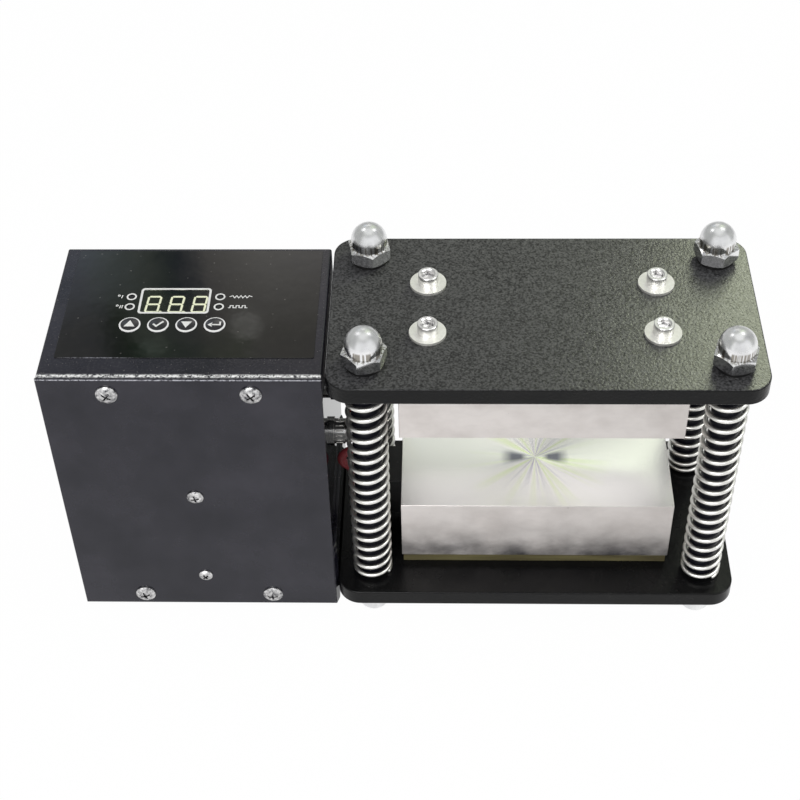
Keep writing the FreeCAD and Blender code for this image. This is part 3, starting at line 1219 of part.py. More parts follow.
# The front lead turns back under its plug, hangs beside the box and enters the lower cover.
LOWER_LEAD_ROUTE = [
    (PLUG_END, -CONNECTOR_OFFSET_Y, CONNECTOR_Z),
    (-21.5, -18.0, CONNECTOR_Z),
    (-16.3, -18.0, 114.8),
    (-16.3, -18.0, 110.8),
    (-21.3, -18.0, 105.8),
    (-29.0, -18.0, 105.8),
    (-35.5, -18.0, 101.0),
    (-35.5, -18.0, 95.0),
    (-30.0, -16.0, 88.5),
    (-26.0, -12.0, 78.0),
    (-24.0, -8.0, 68.5),
    (-17.5, -LEAD_PORT_Y, LOWER_HEATER_Z),
    (COVER_LEFT, -LEAD_PORT_Y, LOWER_HEATER_Z),
]

# The rear lead hangs in a loop, so that its end can go down with the upper block.
UPPER_LEAD_ROUTE = [
    (PLUG_END, CONNECTOR_OFFSET_Y, CONNECTOR_Z),
    (-21.5, 18.0, CONNECTOR_Z),
    (-16.4, 17.8, 114.8),
    (-16.4, 15.4, 103.0),
    (-22.9, 10.3, 98.2),
    (-29.5, 5.2, 103.0),
    (-29.9, 5.0, 114.0),
    (-29.8, 5.0, 125.4),
    (-28.9, 5.0, 136.4),
    (-25.2, 5.0, 146.8),
    (-18.2, LEAD_PORT_Y, UPPER_HEATER_Z),
    (COVER_LEFT, LEAD_PORT_Y, UPPER_HEATER_Z),
]


def build():
    """Every node of the object, by name."""
    nodes = {
        "lower_cage_plate": make_lower_plate(),
        "upper_cage_plate": make_upper_plate(),
        "guide_bushes": make_guide_bushes(),
        "upper_stop_washers": make_stop_washers(HEAD_PLATE_TOP),
        "lower_stop_washers": make_stop_washers(FLOOR_PLATE_Z - STOP_WASHER_T),
        "upper_dome_nuts": make_upper_nuts(),
        "lower_dome_nuts": make_lower_nuts(),
        "lower_insulation_board": make_insulation_board(FLOOR_PLATE_TOP),
        "upper_insulation_board": make_insulation_board(UPPER_BLOCK_TOP),
        "lower_heater_block": make_heater_block(LOWER_BLOCK_Z, LOWER_BLOCK_Z, -1, LOWER_HEATER_Z),
        "upper_heater_block": make_heater_block(UPPER_BLOCK_Z, UPPER_BLOCK_TOP, 1, UPPER_HEATER_Z),
        "lower_block_screws": make_block_screws(FLOOR_PLATE_Z, -1),
        "upper_block_screws": make_block_screws(HEAD_PLATE_TOP, 1),
        "lower_block_washers": make_block_washers(FLOOR_PLATE_Z, -1),
        "upper_block_washers": make_block_washers(HEAD_PLATE_TOP, 1),
        "lower_heater_cartridges": make_heaters(LOWER_HEATER_Z),
        "upper_heater_cartridges": make_heaters(UPPER_HEATER_Z),
        "lower_temperature_probe": make_probe(LOWER_HEATER_Z, -1),
        "upper_temperature_probe": make_probe(UPPER_HEATER_Z, 1),
        "lower_terminal_cover": make_terminal_cover(LOWER_HEATER_Z, -LEAD_PORT_Y),
        "upper_terminal_cover": make_terminal_cover(UPPER_HEATER_Z, LEAD_PORT_Y),
        "lower_cover_screws": make_cover_screws(LOWER_HEATER_Z),
        "upper_cover_screws": make_cover_screws(UPPER_HEATER_Z),
        "box_shell": make_box_shell(),
        "front_cover": make_front_cover(),
        "front_cover_screws": make_front_screws(),
        "transformer": make_transformer(),
        "panel_film": make_film(),
        "display_window": make_window(),
        "display_module": make_display(),
        "control_board": make_control_board(),
        "board_standoffs": make_standoffs(),
        "board_screws": make_board_screws(),
        "tact_switches": make_tact_switches(),
        "indicator_lights": make_lights(),
        "solid_state_relay": make_relay(),
        "rear_wall_screws": make_rear_wall_screws(),
        "mains_inlet": make_inlet(),
        "fuse_drawer": make_fuse_drawer(),
        "switch_housing": make_switch_housing(),
        "power_rocker": make_rocker(),
        "connector_sockets": make_sockets(),
        "connector_plugs": make_plugs(),
        "side_mounting_plate": make_side_plate(),
        "cage_fixing_screws": make_cage_screws(),
        "lower_heater_lead": lead("lower_heater_lead", LOWER_LEAD_ROUTE, LEAD_D),
        "upper_heater_lead": lead("upper_heater_lead", UPPER_LEAD_ROUTE, LEAD_D),
    }
    for name, (x, y) in zip(BUTTON_NAMES, button_places()):
        nodes[name] = make_button(x, y)
    for name, (x, y) in ROD_PLACES.items():
        nodes["guide_rod_" + name] = make_guide_rod(x, y)
    for name, (x, y) in ROD_PLACES.items():
        tube, length, gap = spring(SPRING_END_ANGLES[name])
        print("spring_%s: wire length %.1f, least gap to itself %.3f" % (name, length, gap))
        nodes["spring_" + name] = moved(tube, x, y, 0)
    return nodes


def main():
    """Build every node, check it and write it out."""
    os.makedirs("parts", exist_ok=True)
    nodes = build()
    for name, shape in nodes.items():
        if not shape.isValid() or not shape.Solids:
            raise ValueError(name + " isn't a valid closed solid")
        shape.exportStep("parts/%s.step" % name)
        print("%-26s solids %2d  volume %10.1f" % (name, len(shape.Solids), shape.Volume))
    print("%d nodes" % len(nodes))


main()
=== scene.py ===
"""The looks of the caged heat plates and their control box.

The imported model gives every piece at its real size. This script gives each of them its finish, and
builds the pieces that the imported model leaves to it: the wound springs, the braided sleeves of the
two heater leads, the digits behind the window and the print on the panel. Every length is in
metres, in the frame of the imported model: x runs from the control box to the cage, and the object
stands on z = 0.
"""

import json
import logging
import math
from collections.abc import Callable, Iterable, Sequence
from dataclasses import dataclass, field, replace
from enum import Enum
from functools import cache

import bpy
from mathutils import Matrix, Vector

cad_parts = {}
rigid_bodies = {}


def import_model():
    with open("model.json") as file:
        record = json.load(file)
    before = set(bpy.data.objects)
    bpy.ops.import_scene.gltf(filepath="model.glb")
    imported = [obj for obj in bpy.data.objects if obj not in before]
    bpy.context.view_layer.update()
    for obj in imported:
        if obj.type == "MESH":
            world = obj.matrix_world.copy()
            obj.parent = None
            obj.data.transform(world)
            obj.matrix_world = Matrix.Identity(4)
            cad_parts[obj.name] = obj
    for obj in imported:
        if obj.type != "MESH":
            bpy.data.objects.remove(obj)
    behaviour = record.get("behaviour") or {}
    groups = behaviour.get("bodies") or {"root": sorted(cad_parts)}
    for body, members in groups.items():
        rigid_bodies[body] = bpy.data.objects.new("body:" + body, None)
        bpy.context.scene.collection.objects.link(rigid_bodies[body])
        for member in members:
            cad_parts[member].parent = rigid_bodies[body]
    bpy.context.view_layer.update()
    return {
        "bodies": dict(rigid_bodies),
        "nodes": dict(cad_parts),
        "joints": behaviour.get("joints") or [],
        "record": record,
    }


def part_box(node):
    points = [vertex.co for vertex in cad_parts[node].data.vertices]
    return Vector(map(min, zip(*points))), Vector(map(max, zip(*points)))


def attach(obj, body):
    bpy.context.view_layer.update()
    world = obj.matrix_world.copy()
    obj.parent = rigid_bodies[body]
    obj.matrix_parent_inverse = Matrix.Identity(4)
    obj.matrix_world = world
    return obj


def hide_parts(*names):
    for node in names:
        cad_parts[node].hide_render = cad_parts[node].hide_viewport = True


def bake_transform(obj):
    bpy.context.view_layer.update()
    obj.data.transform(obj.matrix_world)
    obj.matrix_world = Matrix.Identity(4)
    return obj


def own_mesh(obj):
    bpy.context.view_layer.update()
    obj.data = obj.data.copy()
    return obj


LOG = logging.getLogger("heat_plates")

Colour = tuple[float, float, float]
Place = tuple[float, float, float]
Pair = tuple[float, float]
Point = tuple[float, float]
Outline = Sequence[Point]
Object = bpy.types.Object
Node = bpy.types.Node
Tree = bpy.types.NodeTree
Material = bpy.types.Material
Socket = bpy.types.NodeSocket
Given = Socket | float | Sequence[float]

MM = 0.001
WHITE = (1.0, 1.0, 1.0)
EDGE_SAMPLES = 4
# Samples of the painted shade in recesses.
SHADE_SAMPLES = 8
LEAST_MITRE = 0.4
DOME_NUT_NODES = ("upper_dome_nuts", "lower_dome_nuts")


class Body(Enum):
    """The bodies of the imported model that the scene's own pieces ride on."""

    CAGE = "cage_base"
    UPPER_PLATEN = "upper_platen"
    BUTTON_UP = "button_up_cap"
    BUTTON_SELECT = "button_select_cap"
    BUTTON_DOWN = "button_down_cap"
    BUTTON_ACCEPT = "button_accept_cap"


class Slot(Enum):
    """Names of the record's material slots for the scene's own pieces; this script does not use them.
    """

    SPRING = "spring_nickel"
    SLEEVE = "sleeve_red"
    PRINT = "panel_gloss"
    DISPLAY = "display_black"


# Shader wiring


class Wiring:
    """A node tree with short ways to add, set and join its nodes."""

    def __init__(self, tree: Tree) -> None:
        """Takes the tree that the nodes go into."""
        self.tree = tree

    def feed(self, socket: Socket, given: Given) -> None:
        """Joins a socket to another one, or sets its value."""
        if isinstance(given, Socket):
            self.tree.links.new(given, socket)
        else:
            socket.default_value = given

    def add(self, kind: str, settings: dict | None = None, inputs: dict | None = None) -> Node:
        """Adds a node.

        Args:
            kind: The node's type without its ShaderNode prefix.
            settings: Values of the node's own properties.
            inputs: What its input sockets get, by name or number.

        Returns:
            The new node.
        """
        node = self.tree.nodes.new("ShaderNode" + kind)
        for name, value in (settings or {}).items():
            setattr(node, name, value)
        for key, given in (inputs or {}).items():
            self.feed(node.inputs[key], given)
        return node

    def maths(self, operation: str, *operands: Given, clamp: bool = False) -> Socket:
        """Works out one number from others.

        Args:
            operation: The Math node's operation.
            operands: Its operands in order.
            clamp: Whether the result is kept between 0 and 1.

        Returns:
            The socket that holds the result.
        """
        settings = {"operation": operation, "use_clamp": clamp}
        return self.add("Math", settings, dict(enumerate(operands))).outputs[0]

    def times(self, first: Given, second: Given, clamp: bool = False) -> Socket:
        """The product of two numbers, kept between 0 and 1 if it is clamped."""
        return self.maths("MULTIPLY", first, second, clamp=clamp)

    def vector(self, operation: str, first: Given, second: Given) -> Socket:
        """Works out one vector from two others."""
        node = self.add("VectorMath", {"operation": operation}, {0: first, 1: second})
        return node.outputs["Vector"]

    def mix(self, share: Given, first: Given, second: Given) -> Socket:
        """Mixes two colours.

        Args:
            share: Share of the second colour.
            first: The colour at a share of 0.
            second: The colour at a share of 1.

        Returns:
            The socket that holds the mixed colour.
        """
        node = self.add("Mix", {"data_type": "RGBA"}, {0: share, 6: rgba(first), 7: rgba(second)})
        return node.outputs[2]

    def remap(self, value: Given, source: tuple[Given, Given],
              target: tuple[Given, Given] = (0.0, 1.0)) -> Socket:
        """Carries a number from one range to another and keeps it inside.

        Args:
            value: The number.
            source: Its range.
            target: The range that it is carried to.

        Returns:
            The socket that holds the new number.
        """
        node = self.add("MapRange", {"clamp": True},
                        {0: value, 1: source[0], 2: source[1], 3: target[0], 4: target[1]})
        return node.outputs[0]

    def blend(self, share: Given, first: Given, second: Given) -> Socket:
        """The first number at a share of 0, the second at 1, and what lies between."""
        return self.remap(share, (0.0, 1.0), (first, second))

    def place(self) -> Socket:
        """The point on the object, in metres."""
        return self.add("TexCoord").outputs["Object"]

    def part(self, axis: str, given: Given | None = None) -> Socket:
        """One part of a vector, which is the point on the object if none is given."""
        given = self.place() if given is None else given
        return self.add("SeparateXYZ", inputs={0: given}).outputs[axis]

    def scaled(self, scale: Given, given: Given) -> Socket:
        """A vector times a number."""
        node = self.add("VectorMath", {"operation": "SCALE"}, {0: given, "Scale": scale})
        return node.outputs["Vector"]

    def counted(self, size: Given, given: Given | None = None) -> Socket:
        """A vector, or else the point on the object, counted in units of a size."""
        given = self.place() if given is None else given
        return self.scaled(self.maths("DIVIDE", 1.0, size), given)

    def normal(self) -> Socket:
        """The surface's normal."""
        return self.add("NewGeometry").outputs["Normal"]

    def facing(self, axis: str) -> Socket:
        """1 on the faces that look along an axis, either way, and 0 on the others."""
        side = self.maths("ABSOLUTE", self.part(axis, self.normal()))
        aligned = (0.7, 0.9)
        return self.remap(side, aligned)

    def from_axis(self, centre: Given) -> tuple[Socket, Socket]:
        """The level way from an upright axis to the point on the object, and its length."""
        away = self.vector("SUBTRACT", self.place(), centre)
        level = self.vector("MULTIPLY", away, (1.0, 1.0, 0.0))
        node = self.add("VectorMath", {"operation": "LENGTH"}, {0: level})
        return level, node.outputs["Value"]

    def cells(self, point: Given) -> tuple[Socket, Socket]:
        """Scattered cells.

        Args:
            point: The point, in units of a cell.

        Returns:
            A number from 0 to 1 that is drawn for the cell, and the distance from its middle.
        """
        node = self.add("TexVoronoi", inputs={"Vector": point, "Scale": 1.0})
        drawn = self.add("SeparateColor", inputs={0: node.outputs["Color"]})
        return drawn.outputs[0], node.outputs["Distance"]

    def noise(self, point: Given, detail: float, roughness: float = 0.5) -> Socket:
        """Cloudy noise from 0 to 1, whose features are about as large as one unit of the point."""
        node = self.add("TexNoise", inputs={"Vector": point, "Scale": 1.0, "Detail": detail,
                                            "Roughness": roughness})
        return node.outputs[0]

    def group(self, tree: Tree, values: dict[str, Given]) -> Node:
        """Places a node group.

        Args:
            tree: The group's tree.
            values: What its inputs get, by name.

        Returns:
            The group's node.
        """
        node = self.tree.nodes.new("ShaderNodeGroup")
        node.node_tree = tree
        for name, given in values.items():
            self.feed(node.inputs[name], given)
        return node


def rgba(given: Given) -> Given:
    """A colour with its alpha, or the socket that was given."""
    if isinstance(given, Socket):
        return given
    return (*given[:3], 1.0)


class EffectGroup:
    """A shader node group under construction, with named inputs and outputs."""

    def __init__(self, name: str, inputs: dict[str, float | Place], outputs: dict[str, str]) -> None:
        """Makes the group's tree and its sockets.

        Args:
            name: The group's name.
            inputs: Each input's name and default value.
            outputs: Each output's name and kind of socket, Float or Vector.
        """
        self.tree = bpy.data.node_groups.new(name, "ShaderNodeTree")
        for label, value in inputs.items():
            kind = "NodeSocketFloat" if isinstance(value, float) else "NodeSocketVector"
            socket = self.tree.interface.new_socket(label, in_out="INPUT", socket_type=kind)
            socket.default_value = value
        for label, kind in outputs.items():
            self.tree.interface.new_socket(label, in_out="OUTPUT", socket_type="NodeSocket" + kind)
        self.wires = Wiring(self.tree)
        self.given = self.tree.nodes.new("NodeGroupInput").outputs
        self.results = self.tree.nodes.new("NodeGroupOutput").inputs

    def give(self, label: str, socket: Socket) -> None:
        """Joins a socket to one of the group's outputs."""
        self.tree.links.new(socket, self.results[label])


@cache
def grain_group() -> Tree:
    """Fine relief and broad blotches of a surface, either of which may be drawn out along an axis."""
    group = EffectGroup("Surface Grain",
                        {"Size": 0.001, "Blotch Size": 0.02, "Stretch": (1.0, 1.0, 1.0)},
                        {"Height": "Float", "Blotch": "Float"})
    wires = group.wires
    drawn = wires.vector("DIVIDE", wires.place(), group.given["Stretch"])
    group.give("Height", wires.noise(wires.counted(group.given["Size"], drawn), 2.0))
    cloud = wires.noise(wires.counted(group.given["Blotch Size"], drawn), 4.0, 0.6)
    blotched = (0.35, 0.68)
    group.give("Blotch", wires.remap(cloud, blotched))
    return group.tree


@cache
def soft_edge_group() -> Tree:
    """The normal of a surface whose sharp edges are rounded by a radius."""
    group = EffectGroup("Rounded Edge", {"Radius": 0.0003}, {"Normal": "Vector"})
    bevel = group.wires.add("Bevel", {"samples": EDGE_SAMPLES}, {"Radius": group.given["Radius"]})
    group.give("Normal", bevel.outputs["Normal"])
    return group.tree


@cache
def edge_wear_group() -> Tree:
    """Where a finish is rubbed off along edges and corners; on the box paint this mask carries a
    painted edge highlight.
    """
    group = EffectGroup("Edge Wear", {"Width": 0.0006, "Amount": 0.5, "Patch Size": 0.002},
                        {"Mask": "Float"})
    wires = group.wires
    bevel = wires.add("Bevel", {"samples": EDGE_SAMPLES}, {"Radius": group.given["Width"]})
    facing = wires.add("VectorMath", {"operation": "DOT_PRODUCT"},
                       {0: bevel.outputs["Normal"], 1: wires.normal()})
    bend = (0.995, 0.9)
    edge = wires.remap(facing.outputs["Value"], bend)
    patches = wires.noise(wires.counted(group.given["Patch Size"]), 3.0)
    unrubbed, rub_range, rub_blur = 0.75, 0.4, 0.08
    more = wires.times(rub_range, group.given["Amount"])
    threshold = wires.maths("SUBTRACT", unrubbed, more)
    rubbed = wires.remap(patches, (threshold, wires.maths("ADD", threshold, rub_blur)))
    group.give("Mask", wires.times(edge, rubbed, clamp=True))
    return group.tree


@cache
def crevice_shade_group() -> Tree:
    """Painted shade in recesses and inner corners, found by ambient occlusion."""
    group = EffectGroup("Crevice Shade", {"Reach": 0.002, "Amount": 1.0}, {"Mask": "Float"})
    wires = group.wires
    open_share = wires.add("AmbientOcclusion", {"samples": SHADE_SAMPLES, "only_local": True},
                           {"Distance": group.given["Reach"]})
    shut_in = (0.75, 0.25)
    closed = wires.remap(open_share.outputs["AO"], shut_in)
    group.give("Mask", wires.times(closed, group.given["Amount"], clamp=True))
    return group.tree


@cache
def dust_group() -> Tree:
    """Dust that settles on what faces up: a faint film and single specks."""
    group = EffectGroup("Settled Dust", {"Amount": 0.2, "Speck Size": 0.003, "Film": 0.05},
                        {"Mask": "Float"})
    wires = group.wires
    upward, chance, speck_edge, thick = (0.5, 0.95), (0.55, 1.0), (0.05, 0.14), (0.5, 0.9)
    level = wires.remap(wires.part("Z", wires.normal()), upward)
    point = wires.counted(group.given["Speck Size"])
    drawn, distance = wires.cells(point)
    chosen = wires.remap(drawn, chance)
    speck = wires.remap(distance, speck_edge, (1.0, 0.0))
    film = wires.remap(wires.noise(point, 3.0), thick, (0.0, group.given["Film"]))
    mask = wires.maths("MAXIMUM", wires.times(chosen, speck), film)
    settled = wires.times(mask, level)
    group.give("Mask", wires.times(settled, group.given["Amount"], clamp=True))
    return group.tree


@cache
def smudge_group() -> Tree:
    """Roughness that wanders between two values, as on a surface that was handled and wiped."""
    group = EffectGroup("Smudges", {"Size": 0.02, "Low": 0.2, "High": 0.3}, {"Roughness": "Float"})
    wires = group.wires
    cloud = wires.noise(wires.counted(group.given["Size"]), 3.0, 0.6)
    smeared = (0.35, 0.65)
    group.give("Roughness", wires.remap(cloud, smeared, (group.given["Low"], group.given["High"])))
    return group.tree


@cache
def turned_face_group() -> Tree:
    """What turning leaves around an upright axis, the way outwards and shallow rings, and painted
    reflections: pale and dark rays fanned from the middle and a dark bow on either side of it.
    """
    group = EffectGroup("Turned Face",
                        {"Centre": (0.0, 0.0, 0.0), "Pitch": 0.0004, "Reach": 0.05, "Rays": 3.0},
                        {"Height": "Float", "Painted Pale Ray": "Float", "Painted Dark Ray": "Float", "Painted Dark Bow": "Float",
                         "Outwards": "Vector"})
    wires = group.wires
    away, distance = wires.from_axis(group.given["Centre"])
    turns = wires.maths("DIVIDE", distance, group.given["Pitch"])
    wave = wires.maths("SINE", wires.times(turns, 2.0 * math.pi))
    group.give("Height", wires.remap(wave, (-1.0, 1.0)))
    outwards = wires.add("VectorMath", {"operation": "NORMALIZE"}, {0: away}).outputs["Vector"]
    group.give("Outwards", outwards)
    ray = wires.noise(wires.scaled(group.given["Rays"], outwards), 3.0, 0.65)
    near = wires.remap(distance, (0.0, group.given["Reach"]), (1.0, 0.0))
    # Painted reflections: pale and dark rays fanned out from the middle.
    pale, dark = (0.50, 0.62), (0.49, 0.40)
    group.give("Painted Pale Ray", wires.times(wires.remap(ray, pale), near))
    inmost = wires.maths("POWER", near, 3.0)
    group.give("Painted Dark Ray", wires.times(wires.remap(ray, dark), inmost))
    # Painted reflection: a dark bow on either side of the middle.
    bow_begins, bow_ends, bow_side = (4.0 * MM, 8.0 * MM), (13.0 * MM, 20.0 * MM), (0.93, 0.99)
    sideways = wires.maths("ABSOLUTE", wires.part("X", outwards))
    ring = wires.maths("SUBTRACT", wires.remap(distance, bow_begins),
                       wires.remap(distance, bow_ends), clamp=True)
    group.give("Painted Dark Bow", wires.times(ring, wires.remap(sideways, bow_side)))
    return group.tree


@cache
def seam_highlight_group() -> Tree:
    """A painted highlight, broken into specks, along a seam that runs in x on an upper face."""
    group = EffectGroup("Painted Seam Highlight",
                        {"Place": 0.0, "Start": -1.0, "End": 1.0, "Top": 0.19, "Width": 0.0008,
                         "Fade": 0.02, "Grain": 0.0012},
                        {"Mask": "Float"})
    wires = group.wires
    x, y, z = (wires.part(axis) for axis in "XYZ")
    off = wires.maths("ABSOLUTE", wires.maths("SUBTRACT", y, group.given["Place"]))
    near = wires.remap(off, (0.0, group.given["Width"]), (1.0, 0.0))
    high = wires.maths("GREATER_THAN", z, group.given["Top"])
    grain = wires.noise(wires.counted(group.given["Grain"]), 3.0, 0.7)
    # Breaks the painted highlight into specks.
    speck_span = (0.40, 0.54)
    broken = wires.remap(grain, speck_span)
    begun = wires.maths("DIVIDE", wires.maths("SUBTRACT", x, group.given["Start"]),
                        group.given["Fade"], clamp=True)
    left = wires.maths("DIVIDE", wires.maths("SUBTRACT", group.given["End"], x),
                       group.given["Fade"], clamp=True)
    along = wires.times(begun, left)
    across = wires.times(near, high)
    group.give("Mask", wires.times(wires.times(along, across), broken))
    return group.tree


@cache
def room_patch_group() -> Tree:
    """A soft-edged part of the room, by its bearing from +y towards +x and its rise, in degrees."""
    group = EffectGroup("Room Patch",
                        {"Way": (0.0, 1.0, 0.0), "Bearing": 0.0, "Rise": 40.0, "Half Width": 10.0,
                         "Half Height": 10.0, "Softness": 4.0},
                        {"Mask": "Float"})
    wires = group.wires
    x, y, z = (wires.part(axis, group.given["Way"]) for axis in "XYZ")
    bearing = wires.maths("DEGREES", wires.maths("ARCTAN2", x, y))
    rise = wires.maths("DEGREES", wires.maths("ARCSINE", z))
    turn = wires.maths("WRAP", wires.maths("SUBTRACT", bearing, group.given["Bearing"]), 180.0, -180.0)
    lift = wires.maths("SUBTRACT", rise, group.given["Rise"])
    mask: list[Socket] = []
    for off, half in ((turn, "Half Width"), (lift, "Half Height")):
        edge = wires.maths("ADD", group.given[half], group.given["Softness"])
        mask.append(wires.remap(wires.maths("ABSOLUTE", off), (group.given[half], edge), (1.0, 0.0)))
    group.give("Mask", wires.times(*mask))
    return group.tree


# Finishes


@dataclass(frozen=True)
class Finish:
    """A procedural surface: colour with blotches, relief, rounded and rubbed edges, painted shade in
    crevices, and dust. On the box paint the rubbed edges are partly a painted highlight.
    """

    name: str
    colour: Colour
    blotch_colour: Colour
    roughness: Pair
    metallic: float = 0.0
    specular: float = 0.5
    grain_size: float = 0.8 * MM
    blotch_size: float = 18.0 * MM
    stretch: Place = (1.0, 1.0, 1.0)
    relief: float = 0.004 * MM
    edge_radius: float = 0.25 * MM
    wear: float = 0.0
    wear_width: float = 0.5 * MM
    # Colour of the rubbed edges; on the box paint it is partly a painted edge highlight.
    wear_and_highlight_colour: Colour = (0.42, 0.40, 0.38)
    dust: float = 0.15
    dust_size: float = 4.0 * MM
    dust_roughness: float = 0.4
    dust_colour: Colour = (0.50, 0.48, 0.45)
    smudge_size: float = 20.0 * MM
    anisotropy: float = 0.0
    # Painted shade in recesses and inner corners.
    crevice_shade: float = 0.0
    crevice_shade_reach: float = 2.0 * MM
    crevice_shade_colour: Colour = (0.05, 0.05, 0.06)

    @cache
    def material(self) -> Material:
        """The finish's material, built once."""
        return self.build()

    def build(self) -> Material:
        """Builds the material.

        Returns:
            A material whose nodes give colour, roughness, metal and relief.
        """
        material = bpy.data.materials.new(self.name + "_finish")
        material.use_nodes = True
        wires = Wiring(material.node_tree)
        shader = material.node_tree.nodes["Principled BSDF"]
        for label, value in self.constants().items():
            shader.inputs[label].default_value = value
        grain = wires.group(grain_group(), {"Size": self.grain_size, "Blotch Size": self.blotch_size,
                                            "Stretch": self.stretch})
        colour = self.coloured(wires, wires.mix(grain.outputs["Blotch"], self.colour,
                                                self.blotch_colour))
        smudge = wires.group(smudge_group(), {"Size": self.smudge_size, "Low": self.roughness[0],
                                              "High": self.roughness[1]})
        rough = self.roughened(wires, smudge.outputs["Roughness"])
        metal: Given = self.metallic
        # Rubbed edges; on the box paint their pale bluish colour is partly real wear and partly a
        # painted highlight.
        if self.wear > 0.0:
            rubbed = wires.group(edge_wear_group(), {"Width": self.wear_width, "Amount": self.wear})
            colour = wires.mix(rubbed.outputs["Mask"], colour, self.wear_and_highlight_colour)
            metal = wires.maths("MAXIMUM", rubbed.outputs["Mask"], self.metallic)
        # Painted shade in recesses and inner corners.
        if self.crevice_shade > 0.0:
            crevice_shade_node = wires.group(crevice_shade_group(), {"Reach": self.crevice_shade_reach, "Amount": self.crevice_shade})
            colour = wires.mix(crevice_shade_node.outputs["Mask"], colour, self.crevice_shade_colour)
        if self.dust > 0.0:
            settled = wires.group(dust_group(), {"Amount": self.dust, "Speck Size": self.dust_size})
            mask = settled.outputs["Mask"]
            colour = wires.mix(mask, colour, self.dust_colour)
            dulled = wires.times(mask, self.dust_roughness)
            rough = wires.maths("ADD", rough, dulled, clamp=True)
            metal = wires.times(metal, wires.maths("SUBTRACT", 1.0, mask))
        edge = wires.group(soft_edge_group(), {"Radius": self.edge_radius})
        bump = wires.add("Bump", inputs={"Strength": 1.0, "Distance": self.relief,
                                         "Height": self.raised(wires, grain.outputs["Height"]),
                                         "Normal": edge.outputs["Normal"]})
        wires.feed(shader.inputs["Base Color"], colour)
        wires.feed(shader.inputs["Roughness"], rough)
        wires.feed(shader.inputs["Metallic"], metal)
        wires.feed(shader.inputs["Normal"], bump.outputs["Normal"])
        self.finished(wires, shader)
        return material

    def constants(self) -> dict[str, float]:
        """Values that are the same all over the surface, by socket."""
        return {"Specular IOR Level": self.specular, "Anisotropic": self.anisotropy}

    def coloured(self, wires: Wiring, colour: Socket) -> Socket:
        """The base colour before wear and dust. A finish with a pattern adds it here."""
        return colour

    def roughened(self, wires: Wiring, rough: Socket) -> Socket:
        """The roughness before dust. A finish with unlike faces changes it here."""
        return rough

    def raised(self, wires: Wiring, height: Socket) -> Socket:
        """The relief that the bump reads. A finish with a pattern adds it here."""
        return height

    def finished(self, wires: Wiring, shader: Node) -> None:
        """Last changes to the shader. A finish with glow or glass makes them here."""


@dataclass(frozen=True)
class MilledAluminium(Finish):
    """Bare aluminium: turned faces above and below with painted reflection rays, mottled sides with
    small pits and painted shade towards their lower edge.
    """

    centre: Place = (0.0739, 0.0, 0.0)
    ring_pitch: float = 0.5 * MM
    ray_reach: float = 45.0 * MM
    # Colours of the painted reflections on the turned faces: pale rays, dark rays and a dark bow.
    pale_reflection_colour: Colour = (0.84, 0.93, 0.56)
    dark_reflection_colour: Colour = (0.44, 0.42, 0.54)
    dark_bow_reflection_colour: Colour = (0.22, 0.22, 0.27)
    # The turned faces get a paler colour than the sides: painted light that lightens them.
    face_colour: Colour = (1.0, 0.98, 0.97)
    face_roughness: float = 0.26
    pit_size: float = 7.0 * MM
    unpitted: float = 0.82
    pit_edge: Pair = (0.03, 0.07)
    pit_share: float = 0.8
    pit_colour: Colour = (0.10, 0.09, 0.08)
    # Painted shade on the sides towards their lower edge, standing in for the dark lower plate that
    # they mirror.
    shade_low: float = 40.0 * MM
    shade_high: float = 70.0 * MM
    shade_size: Place = (35.2 * MM, 35.2 * MM, 22.0 * MM)
    shade_growth: float = 1.8
    shade_cloud: Pair = (0.36, 0.60)
    shade_share: Pair = (0.25, 1.0)
    shade_colour: Colour = (0.12, 0.115, 0.12)

    def turned_face(self, wires: Wiring) -> Node:
        """The marks of turning around the block's middle."""
        return wires.group(turned_face_group(), {"Centre": self.centre, "Pitch": self.ring_pitch,
                                                 "Reach": self.ray_reach})

    def low_shade(self, wires: Wiring, colour: Socket) -> Socket:
        """Painted shade: darkens the sides in clouds that grow towards the lower edge."""
        low = wires.remap(wires.part("Z"), (self.shade_high, self.shade_low))
        low = wires.maths("POWER", low, self.shade_growth)
        point = wires.vector("DIVIDE", wires.place(), self.shade_size)
        cloud = wires.remap(wires.noise(point, 5.0, 0.62), self.shade_cloud, self.shade_share)
        return wires.mix(wires.times(low, cloud), colour, self.shade_colour)

    def coloured(self, wires: Wiring, colour: Socket) -> Socket:
        """Adds the painted shade and the pits of the sides and the painted reflection rays of the
        turned faces.
        """
        drawn, distance = wires.cells(wires.counted(self.pit_size))
        pit = wires.times(wires.maths("GREATER_THAN", drawn, self.unpitted),
                          wires.remap(distance, self.pit_edge, (self.pit_share, 0.0)))
        side = wires.mix(pit, self.low_shade(wires, colour), self.pit_colour)
        # Painted reflections on the turned faces.
        marks = self.turned_face(wires)
        face = wires.mix(marks.outputs["Painted Pale Ray"], self.face_colour, self.pale_reflection_colour)
        face = wires.mix(marks.outputs["Painted Dark Ray"], face, self.dark_reflection_colour)
        face = wires.mix(marks.outputs["Painted Dark Bow"], face, self.dark_bow_reflection_colour)
        return wires.mix(wires.facing("Z"), side, face)

    def roughened(self, wires: Wiring, rough: Socket) -> Socket:
        """Makes the faces above and below smoother than the sides."""
        return wires.blend(wires.facing("Z"), rough, self.face_roughness)

    def raised(self, wires: Wiring, height: Socket) -> Socket:
        """Adds the rings on the faces above and below."""
        rings = self.turned_face(wires).outputs["Height"]
        return wires.blend(wires.facing("Z"), height, rings)

    def finished(self, wires: Wiring, shader: Node) -> None:
        """Draws the highlight outwards on the turned faces and upright on the sides."""
        outwards = self.turned_face(wires).outputs["Outwards"]
        wires.feed(shader.inputs["Tangent"], wires.mix(wires.facing("Z"), (0.0, 0.0, 1.0), outwards))


